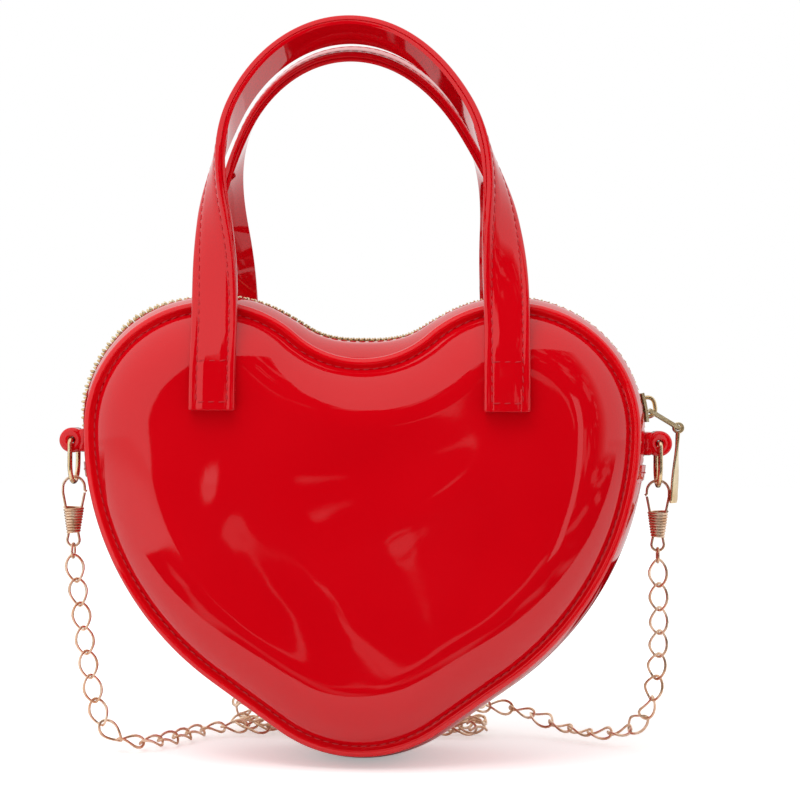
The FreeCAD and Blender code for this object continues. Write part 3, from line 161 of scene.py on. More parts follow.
def circle(count):
    """Angles evenly round a circle."""
    return np.linspace(0, 2 * math.pi, count, endpoint=False)


def squared(wave, power):
    """A sine or cosine raised to a power with its sign kept, which squares off a circle."""
    return np.sign(wave) * np.abs(wave) ** power


def run_along(path):
    """The length of a path of points up to each of them."""
    return np.concatenate(([0], np.cumsum(np.linalg.norm(np.diff(path, axis=0), axis=1))))


def read_at(places, run, rows):
    """Rows of values read between at places along their run."""
    return np.stack([np.interp(places, run, column) for column in rows.T], -1)


def standing(flat, y):
    """Points from places across and up in the bag's plane and their places in Y."""
    return np.stack([flat[..., 0], np.broadcast_to(y, flat.shape[:-1]), flat[..., 1]], -1)


def placed(places, axes, shape):
    """A shape, given along three axes, at many places that have axes of their own."""
    return places[:, None, None] + sum(
        part[..., None] * axis[:, None, None] for part, axis in zip(shape, axes)
    )


# Meshes

SHARP_ANGLE = math.radians(50)
MERGE_DISTANCE = 0.001 * MM


def grid(points, wrap=(False, False), flip=False, caps=False, slots=0):
    """A surface on a grid of points, with UVs in millimetres along its rows and columns.

    Rows or columns that wrap meet their first ones. Caps close the first and last row of a tube.
    """
    rows, columns = points.shape[:2]
    down = np.linalg.norm(np.diff(points, axis=0, append=points[:1]), axis=2).mean(1)
    across = np.linalg.norm(np.diff(points, axis=1, append=points[:, :1]), axis=2).mean(0)
    u = np.concatenate(([0], np.cumsum(down)))
    v = np.concatenate(([0], np.cumsum(across)))
    last_row = rows if wrap[0] else rows - 1
    last_column = columns if wrap[1] else columns - 1
    i, j = np.meshgrid(np.arange(last_row), np.arange(last_column), indexing="ij")
    steps = ((0, 0), (1, 0), (1, 1), (0, 1))
    if flip:
        steps = steps[::-1]
    corner_i = np.stack([i + step[0] for step in steps], -1).reshape(-1)
    corner_j = np.stack([j + step[1] for step in steps], -1).reshape(-1)
    corners = (corner_i % rows) * columns + corner_j % columns
    uvs = np.stack([u[corner_i], v[corner_j]], -1)
    totals = np.full(last_row * last_column, 4)
    face_slots = np.broadcast_to(slots, i.shape).reshape(-1)
    if caps:
        first = np.arange(columns)
        end = first + (rows - 1) * columns
        ends = (first[::-1], end) if flip else (first, end[::-1])
        corners = np.concatenate([corners, *ends])
        totals = np.concatenate([totals, [columns, columns]])
        uvs = np.concatenate([uvs, np.zeros((2 * columns, 2))])
        face_slots = np.concatenate([face_slots, [0, 0]])
    return {
        "points": points.reshape(-1, 3),
        "corners": corners,
        "totals": totals,
        "uvs": uvs,
        "slots": face_slots,
    }


def tube(points, flip=True, slots=0):
    """A tube on rows of points round it, closed at both ends."""
    return grid(points, wrap=(False, True), flip=flip, caps=True, slots=slots)


def repeated(template, points):
    """One grid's faces on many copies of its points, an array of copies, rows, columns and places."""
    copies = len(points)
    shift = (np.arange(copies) * len(template["points"]))[:, None]
    return {
        "points": points.reshape(-1, 3),
        "corners": (template["corners"][None] + shift).reshape(-1),
        "totals": np.tile(template["totals"], copies),
        "uvs": np.tile(template["uvs"], (copies, 1)),
        "slots": np.tile(template["slots"], copies),
    }


def in_frame(points):
    """Points of the frame in metres, from points in millimetres above the tip."""
    return np.asarray(points) * MM - np.array((0, 0, bpy.context.scene.bag_sizes.tip_drop))


def node_box(name):
    """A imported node's lowest and highest corners, in millimetres above the tip."""
    drop = np.array((0, 0, bpy.context.scene.bag_sizes.tip_drop))
    return [(np.array(corner) + drop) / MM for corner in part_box(name)]


def piece(name, parts, *finishes, merge=False):
    """A mesh object at the origin made of grids, whose points are millimetres above the tip."""
    points, totals, uvs, slots = (
        np.concatenate([part[key] for part in parts]) for key in ("points", "totals", "uvs", "slots")
    )
    starts = np.cumsum([0] + [len(part["points"]) for part in parts[:-1]])
    corners = np.concatenate([part["corners"] + start for part, start in zip(parts, starts)])
    mesh = bpy.data.meshes.new(name)
    mesh.vertices.add(len(points))
    mesh.loops.add(len(corners))
    mesh.polygons.add(len(totals))
    mesh.vertices.foreach_set("co", in_frame(points).astype(np.float32).ravel())
    for items, field, numbers in (
        (mesh.loops, "vertex_index", corners),
        (mesh.polygons, "loop_start", np.cumsum(totals) - totals),
        (mesh.polygons, "loop_total", totals),
        (mesh.polygons, "material_index", slots),
    ):
        items.foreach_set(field, numbers.astype(np.int32))
    layer = mesh.uv_layers.new(name="along_and_across")
    layer.data.foreach_set("uv", (uvs * MM).astype(np.float32).ravel())
    mesh.update(calc_edges=True)
    if merge:
        merged = bmesh.new()
        merged.from_mesh(mesh)
        bmesh.ops.remove_doubles(merged, verts=merged.verts, dist=MERGE_DISTANCE)
        merged.to_mesh(mesh)
        merged.free()
    mesh.shade_smooth()
    mesh.set_sharp_from_angle(angle=SHARP_ANGLE)
    for finish in finishes:
        mesh.materials.append(finish_named(finish))
    made = bpy.data.objects.new(name, mesh)
    bpy.context.scene.collection.objects.link(made)
    return made


def stands_for(made, slot, *nodes):
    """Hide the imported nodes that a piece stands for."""
    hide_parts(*nodes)


def goes_with(made, side):
    """Bake a piece of the front into its mesh where it stands, and let one of the back ride on the bag."""
    if side < 0:
        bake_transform(made)
    else:
        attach(made, "bag")


# The heart

SIDE_SLOPE_SHARE = 0.6074
ARC_STEPS = 240


def measured():
    """The lengths that the user may change, in millimetres, and the heart's edge that they give.

    The edge has arc lengths, places and outward normals from the tip round by the right. Half of it is a
    tip arc, a straight side, a side arc, a lobe arc and the cleft's arc, all tangent. The strips and the
    gusset join at one arc length from the tip on both sides.
    """
    group = bpy.context.scene.bag_sizes
    bag = types.SimpleNamespace(**{name: getattr(group, name) / MM for name in BagSizes.__annotations__})
    half_width = bag.heart_width / 2
    lobe_x = half_width - bag.lobe_radius
    lobe_z = bag.heart_height - bag.lobe_radius
    slope = math.atan(SIDE_SLOPE_SHARE * lobe_z / half_width)
    tip_angle = slope - math.pi / 2
    lift = bag.tip_radius * (1 - math.cos(slope)) + lobe_z * math.cos(slope)
    side_radius = (lift - half_width * math.sin(slope)) / (1 - math.sin(slope))
    cleft_radius = lobe_x**2 / (2 * bag.cleft_depth) + bag.cleft_depth / 2 - bag.lobe_radius
    cleft_z = bag.heart_height - bag.cleft_depth + cleft_radius
    cleft_angle = math.atan2(cleft_z - lobe_z, -lobe_x)
    arcs = (
        (0, bag.tip_radius, bag.tip_radius, -math.pi / 2, tip_angle, 1),
        (half_width - side_radius, lobe_z, side_radius, tip_angle, 0, 1),
        (lobe_x, lobe_z, bag.lobe_radius, 0, cleft_angle, 1),
        (0, cleft_z, cleft_radius, cleft_angle - math.pi, -math.pi / 2, -1),
    )
    places = []
    normals = []
    for center_x, center_z, radius, first, last, bend in arcs:
        angle = np.linspace(first, last, ARC_STEPS)
        way = np.stack([np.cos(angle), np.sin(angle)], -1)
        places.append(np.array((center_x, center_z)) + radius * way)
        normals.append(bend * way)
    mirror = np.array((-1, 1))
    edge, outward = (
        np.concatenate([half, half[::-1] * mirror]) for half in map(np.concatenate, (places, normals))
    )
    along = run_along(edge)
    fresh = np.concatenate(([True], np.diff(along) > 0))
    bag.along, bag.edge, bag.outward = along[fresh], edge[fresh], outward[fresh]
    bag.total = along[-1]
    right = bag.along < bag.total / 2
    bag.join = float(np.interp(lobe_z - bag.join_drop, bag.edge[right, 1], bag.along[right]))
    return bag


def on_edge(bag, along, inset):
    """Places in the bag's plane at arc lengths and insets, and the outward normals there."""
    wrapped = np.mod(along, bag.total)
    edge = read_at(wrapped, bag.along, bag.edge)
    outward = unit(read_at(wrapped, bag.along, bag.outward))
    if np.ndim(inset) == 2:
        return edge[:, None] - outward[:, None] * inset[..., None], outward
    return edge - outward * np.broadcast_to(inset, wrapped.shape)[:, None], outward


def carried(bag, along, inset, y):
    """A profile of insets and places in Y carried along the edge: rows along, columns round it."""
    flat, _ = on_edge(bag, along, np.broadcast_to(inset, (len(along), inset.shape[-1])))
    return standing(flat, y)


# Padded faces

# Soft folds of each face: place across and up, direction in degrees, half length, half width and how
# far each stands out, in mm. They fade out near the face's edge.
FRONT_SWELLS = (
    (-46.0, 96.0, 70.0, 22.0, 9.0, 0.7),
    (-36.0, 62.0, 125.0, 30.0, 11.0, -1.0),
    (-12.0, 66.0, 115.0, 34.0, 9.0, 0.9),
    (14.0, 62.0, 110.0, 30.0, 10.0, -0.8),
    (26.0, 92.0, 35.0, 26.0, 9.0, 0.8),
    (46.0, 74.0, 60.0, 26.0, 10.0, -0.7),
    (0.0, 104.0, 10.0, 24.0, 10.0, -0.8),
    (62.0, 104.0, 75.0, 18.0, 8.0, 0.5),
)
BACK_SWELLS = (
    (36.0, 88.0, 60.0, 30.0, 12.0, -0.9),
    (-24.0, 74.0, 115.0, 32.0, 12.0, 0.8),
    (6.0, 56.0, 80.0, 26.0, 11.0, -0.7),
    (-48.0, 100.0, 70.0, 24.0, 10.0, -0.6),
)
SWELL_START = 8.0
SWELL_RUN = 14.0
SEAM_DIP = 0.35
SEAM_WIDTH = 0.45
BORDER_ROUND_SHARE = 1 / 3
PUCKER = 0.1
PUCKER_WIDTH = 1.2
FACE_MIDDLE = np.array((0.0, 88.0))
FACE_LAYER = 0.5

# The face's rows: close ones over the seam, wider ones over the dome, shrinking ones inside and behind.
ROUND_FACE = 420
CLOSE_RUN = 2.4
CLOSE_ROWS = 13
DOME_START = 2.9
DOME_ROWS = 20
INNER_ROWS = 34
BACK_ROWS = 8


def face_reach(bag, inside):
    """How far the padded face stands from the bag's middle, by the distance inside its edge.

    A flat border, a dip at the stitch line and an arc from there up to the flat middle.
    """
    border = bag.border_rise * smooth(inside / (bag.border * BORDER_ROUND_SHARE))
    dip = SEAM_DIP * np.exp(-((inside - bag.seam) / SEAM_WIDTH) ** 2)
    rise = bag.face_rise - bag.border_rise
    radius = (bag.dome_run**2 + rise**2) / (2 * rise)
    from_flat = bag.dome_run - np.clip(inside - bag.border, 0, bag.dome_run)
    dome = np.sqrt(radius**2 - from_flat**2) - (radius - rise)
    return bag.half_depth + border - dip + dome


def swells(flat, inside, bumps):
    """Long Gaussian folds and hollows that fade out towards the face's edge."""
    total = np.zeros(flat.shape[:-1])
    for x, z, degrees, half_length, half_width, rise in bumps:
        turn = math.radians(degrees)
        along = (flat[..., 0] - x) * math.cos(turn) + (flat[..., 1] - z) * math.sin(turn)
        aside = (flat[..., 1] - z) * math.cos(turn) - (flat[..., 0] - x) * math.sin(turn)
        total += rise * np.exp(-((along / half_length) ** 2) - (aside / half_width) ** 2)
    return total * smooth((inside - SWELL_START) / SWELL_RUN)


def shrunk(row, shares):
    """A row round the face at shares of its distance from the face's middle."""
    return [FACE_MIDDLE + (row - FACE_MIDDLE) * share for share in shares]


def padded_face(bag, side, bumps):
    """A closed heart cushion: rows from its middle out to its edge, round it and back inside.

    Near the edge the rows are offsets of the outline, and inside them they shrink to a middle point.
    """
    along = np.linspace(0, bag.total, ROUND_FACE, endpoint=False)
    close = np.linspace(0, CLOSE_RUN, CLOSE_ROWS)
    gaps = np.concatenate([close, np.linspace(DOME_START, bag.dome_run, DOME_ROWS)])
    edge_rows = [on_edge(bag, along, bag.face_inset + gap)[0] for gap in gaps]
    inner_rows = shrunk(edge_rows[-1], np.linspace(0, 1, INNER_ROWS)[:-1])
    flat = np.array(inner_rows + edge_rows[::-1])
    samples = edge_rows[0][::2]
    to_edge = [np.linalg.norm(row[:, None] - samples[None], axis=2).min(1) for row in inner_rows]
    inside = np.array(to_edge + [np.full(len(along), gap) for gap in gaps[::-1]])
    pucker = PUCKER * np.cos(2 * math.pi * along / bag.stitch_pitch)
    reach = face_reach(bag, inside) + swells(flat, inside, bumps)
    reach = reach - pucker * np.exp(-((inside - bag.seam) / PUCKER_WIDTH) ** 2)
    back_flat = np.array(shrunk(edge_rows[0], np.linspace(1, 0, BACK_ROWS)))
    back_reach = np.full(back_flat.shape[:2], bag.half_depth - FACE_LAYER)
    lined = np.arange(len(flat) + BACK_ROWS - 1)[:, None] >= len(flat)
    points = standing(np.concatenate([flat, back_flat]), side * np.concatenate([reach, back_reach]))
    return grid(points, wrap=(False, True), flip=side > 0, slots=lined.astype(int))


# Stitches

STITCH_SHARE = 0.74
STITCH_TIP_SHARE = 1.02
STITCH_RINGS = 7
STITCH_SIDES = 6
SLANT_SHARE = 0.10
SLANT_SPREAD_SHARE = 0.04
LENGTH_SHARES = (0.92, 1.06)


def stitched_line(bag, path, normals, seed):
    """Stitches at an even pitch along a dense path on a surface, each a little out of line.

    A stitch is a length of thread that thins to its ends like an ellipse.
    """
    draw = np.random.default_rng(seed)
    run = run_along(path)
    count = max(1, int(round(run[-1] / bag.stitch_pitch)))
    at = (np.arange(count) + 0.5) * run[-1] / count
    places = read_at(at, run, path)
    normals = unit(read_at(at, run, np.broadcast_to(normals, path.shape)))
    ways = unit(read_at(at, run, np.gradient(path, axis=0)))
    slant = draw.normal(SLANT_SHARE, SLANT_SPREAD_SHARE, count)[:, None]
    ways = unit(ways + unit(np.cross(normals, ways)) * slant)
    sides = unit(np.cross(normals, ways))
    half_length = bag.stitch_pitch * STITCH_SHARE / 2 * draw.uniform(*LENGTH_SHARES, count)
    angle = circle(STITCH_SIDES)
    share = np.tile(np.linspace(-1, 1, STITCH_RINGS)[:, None], STITCH_SIDES)
    radius = np.sqrt(np.clip(STITCH_TIP_SHARE - share**2, 0, 1))
    template = np.stack([share, radius * np.cos(angle), radius * np.sin(angle)])
    shape = (share * half_length[:, None, None], *(template[1:] * bag.thread / 2))
    return repeated(tube(np.moveaxis(template, 0, -1)), placed(places, (ways, sides, normals), shape))


# Finishes


def add_node(tree, kind, inputs=None, output=0, **settings):
    """Adds a node with its settings, links or sets its inputs, and gives one of its outputs."""
    made = tree.nodes.new(f"ShaderNode{kind}")
    for name, value in settings.items():
        setattr(made, name, value)
    for name, value in (inputs or {}).items():
        if isinstance(value, bpy.types.NodeSocket):
            tree.links.new(value, made.inputs[name])
        else:
            made.inputs[name].default_value = value
    return made.outputs[output] if made.outputs else None


def darker(shade, share):
    """A colour held back to a share of its light."""
    return (*(share * part for part in shade[:3]), 1.0)


def per_millimetre(millimetre_size):
    """The scale of a pattern that repeats at a size in millimetres, on coordinates in metres."""
    return 1 / (millimetre_size * MM)


def patent_sheet(tree, light, deep, wave_mm, wave_depth):
    """Polyurethane patent sheet: a smooth clear coat over red, so it mirrors, with slow waves of the
    sheet, a faint orange peel and a slight unevenness of the red underneath."""
    place = add_node(tree, "TexCoord", output="Object")
    tone = add_node(tree, "TexNoise", {"Vector": place, "Scale": per_millimetre(45), "Detail": 2.0})
    base = add_node(tree, "Mix", {0: tone, 6: deep, 7: light}, 2, data_type="RGBA")
    waves = add_node(tree, "TexNoise", {"Vector": place, "Scale": per_millimetre(wave_mm), "Detail": 1.0})
    peel = add_node(tree, "TexNoise", {"Vector": place, "Scale": per_millimetre(1.6), "Detail": 1.0})
    slow = add_node(tree, "Bump", {"Strength": 1.0, "Distance": wave_depth * MM, "Height": waves})
    fine = add_node(tree, "Bump", {"Strength": 1.0, "Distance": 0.004 * MM, "Height": peel, "Normal": slow})
    rough = add_node(tree, "MapRange", {"Value": tone, "To Min": 0.035, "To Max": 0.075})
    surface = {"Base Color": base, "Roughness": rough, "IOR": 1.52, "Normal": fine}
    return add_node(tree, "BsdfPrincipled", surface)


def sewing_thread(tree, shade):
    """Bonded polyester thread: satin red. Its strands are too fine to show, so their slanting bands are
    drawn longer than a stitch, and each stitch has one tone, a little darker than the thread's colour."""
    along = add_node(tree, "TexCoord", output="UV")
    banded = {"Vector": along, "Scale": 1.6, "Distortion": 0.0}
    strands = add_node(tree, "TexWave", banded, "Fac", bands_direction="DIAGONAL")
    bump = add_node(tree, "Bump", {"Strength": 0.6, "Distance": 0.1 * MM, "Height": strands})
    tone = add_node(tree, "Mix", {0: strands, 6: darker(shade, 0.8), 7: shade}, 2, data_type="RGBA")
    return add_node(tree, "BsdfPrincipled", {"Base Color": tone, "Roughness": 0.42, "Normal": bump})


# A wave texture of scale 1 turns by this many radians in one unit of its coordinate.
WAVE_TURN = 20


def woven_cloth(tree, shade, thread_mm):
    """Plain woven polyester: threads over and under, drawn as crossed waves. One thread is too fine to
    show, so a wave is as wide as 2 pi threads."""
    place = add_node(tree, "TexCoord", output="Object")
    spaced = {"Vector": place, "Scale": per_millimetre(thread_mm) / WAVE_TURN}
    warp = add_node(tree, "TexWave", spaced, "Fac", bands_direction="X")
    weft = add_node(tree, "TexWave", spaced, "Fac", bands_direction="Z")
    weave = add_node(tree, "Math", {0: warp, 1: weft}, operation="MAXIMUM")
    bump = add_node(tree, "Bump", {"Strength": 0.7, "Distance": 0.15 * MM, "Height": weave})
    tone = add_node(tree, "Mix", {0: weave, 6: darker(shade, 0.55), 7: shade}, 2, data_type="RGBA")
    surface = {"Base Color": tone, "Roughness": 0.75, "Sheen Weight": 0.2, "Normal": bump}
    return add_node(tree, "BsdfPrincipled", surface)


def plated_metal(tree, light, deep, roughness):
    """Light gold plating on a polished casting or wire: bright, a little uneven, finely scratched."""
    place = add_node(tree, "TexCoord", output="Object")
    cloud = add_node(tree, "TexNoise", {"Vector": place, "Scale": per_millimetre(6), "Detail": 3.0})
    grain = add_node(tree, "TexNoise", {"Vector": place, "Scale": per_millimetre(0.5), "Detail": 1.0})
    share = add_node(tree, "MapRange", {"Value": cloud, "From Min": 0.35, "From Max": 0.65})
    tone = add_node(tree, "Mix", {0: share, 6: deep, 7: light}, 2, data_type="RGBA")
    spread = {"Value": grain, "To Min": roughness * 0.7, "To Max": roughness * 1.3}
    rough = add_node(tree, "MapRange", spread)
    bump = add_node(tree, "Bump", {"Strength": 0.5, "Distance": 0.02 * MM, "Height": grain})
    surface = {"Base Color": tone, "Metallic": 1.0, "Roughness": rough, "Normal": bump}
    return add_node(tree, "BsdfPrincipled", surface)


def pale_floor(tree, shade):
    """Matt pale paint that stays white to the camera but keeps shadows."""
    seen = add_node(tree, "LightPath", output="Is Camera Ray")
    paint = add_node(tree, "BsdfDiffuse", {"Color": shade})
    lift = add_node(tree, "Math", {0: seen, 1: 0.37}, operation="MULTIPLY")
    glow = add_node(tree, "Emission", {"Color": (1, 1, 1, 1), "Strength": lift})
    return add_node(tree, "AddShader", {0: paint, 1: glow})


def black_card(tree):
    """Black card with a few paler patches, fading to white at its far side."""
    place = add_node(tree, "TexCoord", output="Object")
    cloud = add_node(tree, "TexNoise", {"Vector": place, "Scale": per_millimetre(170), "Detail": 2.0})
    patchy = {"Value": cloud, "From Min": 0.56, "From Max": 0.6, "To Max": 0.45}
    patch = add_node(tree, "MapRange", patchy)
    across = add_node(tree, "SeparateXYZ", {"Vector": place}, "X")
    aside = add_node(tree, "Math", {0: across}, operation="ABSOLUTE")
    fading = {"Value": aside, "From Min": 0.8, "From Max": 1.9}
    fade = add_node(tree, "MapRange", fading, interpolation_type="SMOOTHSTEP")
    glow = add_node(tree, "Math", {0: patch, 1: fade}, operation="MAXIMUM")
    return add_node(tree, "Emission", {"Color": (1, 1, 1, 1), "Strength": glow})


def white_card(tree):
    """White card that shows as a bright shape in the gloss."""
    return add_node(tree, "Emission", {"Color": (1, 1, 1, 1), "Strength": 1.0})


# Each finish: how it is made, its colours and its further values.
FINISHES = {
    "red_patent_sheet": (patent_sheet, ("patent", "patent_deep"), {"wave_mm": 26.0, "wave_depth": 0.25}),
    "red_patent_strap": (patent_sheet, ("patent", "patent_deep"), {"wave_mm": 18.0, "wave_depth": 0.12}),
    "red_patent_piping": (patent_sheet, ("piping", "patent"), {"wave_mm": 12.0, "wave_depth": 0.08}),
    "red_sewing_thread": (sewing_thread, ("thread",), {}),
    "red_zip_tape": (woven_cloth, ("tape",), {"thread_mm": 0.8}),
    "red_lining_cloth": (woven_cloth, ("lining",), {"thread_mm": 0.9}),
    "gold_plating": (plated_metal, ("gold", "gold_deep"), {"roughness": 0.28}),
    "rose_gold_plating": (plated_metal, ("rose_gold", "rose_gold_deep"), {"roughness": 0.36}),
    "pale_floor": (pale_floor, ("floor",), {}),
    "black_card": (black_card, (), {}),
    "white_card": (white_card, (), {}),
}


def finish_named(name):
    """The material of that name, made when it is first asked for."""
    made = bpy.data.materials.get(name)
    if made is None:
        maker, shades, values = FINISHES[name]
        colours = [tuple(getattr(bpy.context.scene.bag_colours, shade)) for shade in shades]
        made = bpy.data.materials.new(name)
        made.use_nodes = True
        made.node_tree.nodes.clear()
        shader = maker(made.node_tree, *colours, **values)
        add_node(made.node_tree, "OutputMaterial", {"Surface": shader})
    return made


# Operators


class BAG_OT_stage(bpy.types.Operator):
    """Makes the floor, the studio light, the dark cards and the camera"""

    bl_idname = "heart_bag.stage"
    bl_label = "Stage, light and camera"

    FLOOR_HALF = 3000.0
    CARD_NEAR = 105.0
    CARD_FAR = 760.0
    CARD_ENDS = (-230.0, 1900.0)
    CARD_HIGHS = ((420.0, 2300.0), (220.0, 220.0))
    CARD_LIFT = 1.0
    FILL_ENDS = (122.0, 146.0)
    FILL_PROFILE = ((-180.0, 30.0), (-180.0, 160.0))
    LAMP_PLACE = (-0.25, -0.45, 0.75)
    LAMP_AIM = np.array((0.25, 0.45, -0.9))
    CAMERA_PLACE = (32.0, -664.6, 118.0)
    CAMERA_TURN = (math.pi / 2 + 0.0153, -0.006, 0.0284)

    def execute(self, context):
        level = -measured().gusset_rise
        edge = self.FLOOR_HALF
        floor_profile = ((-edge, level), (edge, level))
        self.sheet("floor", (-edge, edge), (floor_profile, floor_profile), "pale_floor")
        self.world()
        self.cards(level + self.CARD_LIFT)
        self.lamp()
        self.camera()
        context.scene.view_settings.view_transform = "Standard"
        return {"FINISHED"}

    def sheet(self, name, ends, profiles, finish):
        """A sheet between a profile of places in Y and heights at each of its two ends across."""
        points = [[(x, *place) for place in profile] for x, profile in zip(ends, profiles)]
        made = piece(name, [grid(np.array(points))], finish)
        return made

    def world(self):
        """Even white light from all round, a little weaker on matt surfaces."""
        world = bpy.data.worlds.new("studio")
        world.use_nodes = True
        tree = world.node_tree
        tree.nodes.clear()
        ray = add_node(tree, "LightPath").node.outputs
        camera, glossy, clear = (ray[f"Is {kind} Ray"] for kind in ("Camera", "Glossy", "Transmission"))
        seen = add_node(tree, "Math", {0: camera, 1: glossy}, operation="MAXIMUM")
        direct = add_node(tree, "Math", {0: seen, 1: clear}, operation="MAXIMUM")
        strength = add_node(tree, "MapRange", {"Value": direct, "To Min": 0.85, "To Max": 1.0})
        light = add_node(tree, "Background", {"Color": (1, 1, 1, 1), "Strength": strength})
        add_node(tree, "OutputWorld", {"Surface": light})
        bpy.context.scene.world = world

    def cards(self, low):
        """A floor and wall of black card before and behind the bag, and a white card for the fittings on
        the right. They show only in the gloss."""
        made = []
        for (word, side), highs in zip(SIDES, self.CARD_HIGHS):
            ends = [-side * end for end in self.CARD_ENDS]
            near, far = side * self.CARD_NEAR, side * self.CARD_FAR
            profiles = [((near, low), (far, low), (far, high)) for high in highs]
            made.append(self.sheet(f"{word}_card", ends, profiles, "black_card"))
        made.append(self.sheet("fill_card", self.FILL_ENDS, (self.FILL_PROFILE,) * 2, "white_card"))
        for card in made:
            for ray in ("camera", "diffuse", "shadow", "transmission"):
                setattr(card, f"visible_{ray}", False)

    def lamp(self):
        """A soft lamp above on the left, which doesn't show in the gloss."""
        lamp = bpy.data.lights.new("overhead_softbox", "AREA")
        lamp.shape = "RECTANGLE"
        lamp.size = 0.9
        lamp.size_y = 0.6
        lamp.energy = 6.0
        made = bpy.data.objects.new("overhead_softbox", lamp)
        made.visible_glossy = False
        made.location = self.LAMP_PLACE
        aim = unit(self.LAMP_AIM)
        made.rotation_euler = (math.pi / 2 + math.asin(aim[2]), 0, math.atan2(-aim[0], aim[1]))
        bpy.context.scene.collection.objects.link(made)

    def camera(self):
        """The photograph's viewpoint: level with the lobes, a little to the right, tipped up slightly."""
        data = bpy.data.cameras.new("camera")
        data.lens = 80
        data.sensor_width = 36
        data.clip_start = 0.01
        data.clip_end = 20
        made = bpy.data.objects.new("camera", data)
        made.location = in_frame(self.CAMERA_PLACE)
        made.rotation_euler = self.CAMERA_TURN
        bpy.context.scene.collection.objects.link(made)
        bpy.context.scene.camera = made


class BAG_OT_faces(bpy.types.Operator):
    """Makes the two padded faces and the stitch line round each"""

    bl_idname = "heart_bag.faces"
    bl_label = "Padded faces"

    LAYERS = ("panel", "foam_pad", "lining")
    PARTS = (("front_upper", "front_lower"), ("back",))
    THREAD_LIFT_SHARE = 0.1

    def execute(self, context):
        bag = measured()
        for (word, side), bumps, parts in zip(SIDES, (FRONT_SWELLS, BACK_SWELLS), self.PARTS):
            cushion = padded_face(bag, side, bumps)
            face = piece(f"{word}_face", [cushion], "red_patent_sheet", "red_lining_cloth", merge=True)
            nodes = [f"{part}_{layer}" for part in parts for layer in self.LAYERS]
            stands_for(face, "patent_sheet", *nodes)
            seam = piece(f"{word}_face_stitches", [self.seam(bag, side)], "red_sewing_thread")
            goes_with(face, side)
            goes_with(seam, side)
        return {"FINISHED"}

    def seam(self, bag, side):
        """The stitch line just inside the face's edge."""
        along = np.linspace(0, bag.total, 2400)
        flat, _ = on_edge(bag, along, bag.face_inset + bag.seam)
        reach = face_reach(bag, bag.seam) + bag.thread * self.THREAD_LIFT_SHARE
        return stitched_line(bag, standing(flat, side * reach), (0.0, side, 0.0), 3 + side)


class BAG_OT_piping(bpy.types.Operator):
    """Makes the covered cord round each face"""

    bl_idname = "heart_bag.piping"
    bl_label = "Piping"

    FOOT_SINK = 0.15
    NODES = (("front_lower_piping", "front_upper_piping"), ("back_piping",))

    def execute(self, context):
        bag = measured()
        along = np.linspace(0, bag.total, 520, endpoint=False)
        inset, rise = self.section(bag)
        for (word, side), nodes in zip(SIDES, self.NODES):
            points = carried(bag, along, inset, side * (bag.half_depth + rise))
            cover = grid(points, wrap=(True, True), flip=side > 0)
            cord = piece(f"{word}_edge_piping", [cover], "red_patent_piping")
            stands_for(cord, "patent_piping", *nodes)
            goes_with(cord, side)
        return {"FINISHED"}

    def section(self, bag):
        """Insets and rises round the cord: three quarters of a circle and a soft flank to the stitches."""
        radius = bag.piping_radius
        foot_inset = bag.face_inset + bag.seam - self.FOOT_SINK
        foot_rise = bag.border_rise - self.FOOT_SINK
        under = np.linspace(-math.pi, math.pi / 2, 18)
        share = np.linspace(0, 1, 9)[1:]
        inset = radius + (foot_inset - radius) * share
        rise = foot_rise + (radius - foot_rise) * (0.5 + 0.5 * np.cos(math.pi * share))
        around_inset = np.concatenate([radius * (1 - np.cos(under)), inset])
        around_rise = np.concatenate([radius * np.sin(under), rise])
        return around_inset, around_rise


def arch_out(bag, depth, y):
    """How far outside the outline the gusset's arch lies, at a depth under its face and a place across."""
    height = bag.gusset_rise + bag.gusset_sink
    radius = (bag.gusset_edge**2 + height**2) / (2 * height)
    return np.sqrt((radius - depth) ** 2 - y**2) - (radius - bag.gusset_rise)


class BAG_OT_gusset(bpy.types.Operator):
    """Makes the gusset round the sides and tip, its lining and the joins at its ends"""

    bl_idname = "heart_bag.gusset"
    bl_label = "Gusset"

    # The ends are a double layer, sewn across.
    END_LAYER = 0.7
    END_RUN = 6.0
    END_SEAM = 2.6
    SEAM_SHARE = 0.94
    THREAD_LIFT_SHARE = 0.1

    def execute(self, context):
        bag = measured()
        along = np.linspace(-bag.join, bag.join, 420)
        face = np.linspace(-bag.gusset_edge, bag.gusset_edge, 26)
        y = np.concatenate([face, face[::-1]])
        inner = np.repeat((0, 1), len(face))
        past = np.abs(along) - bag.join + self.END_RUN
        doubled = self.END_LAYER * smooth(past / self.END_LAYER)[:, None]
        inset = -arch_out(bag, inner * bag.gusset_wall, y) - doubled * (1 - inner)
        lined = tube(carried(bag, along, inset, y), slots=inner)
        band = piece("gusset_band", [lined], "red_patent_sheet", "red_lining_cloth")
        stands_for(band, "patent_sheet", "lower_gusset", "gusset_lining")
        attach(band, "bag")
        rows = [self.end_row(bag, hand * (bag.join - self.END_SEAM), 31 + hand) for hand in (-1, 1)]
        seams = piece("gusset_end_stitches", rows, "red_sewing_thread")
        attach(seams, "bag")
        return {"FINISHED"}

    def end_row(self, bag, place, seed):
        """A row of stitches across the band, on its doubled end."""
        y = np.linspace(-bag.gusset_edge, bag.gusset_edge, 200) * self.SEAM_SHARE
        out = arch_out(bag, 0.0, y) + self.END_LAYER + bag.thread * self.THREAD_LIFT_SHARE
        flat, outward = on_edge(bag, np.full(len(y), place), -out)
        return stitched_line(bag, standing(flat, y), standing(outward, 0.0), seed)


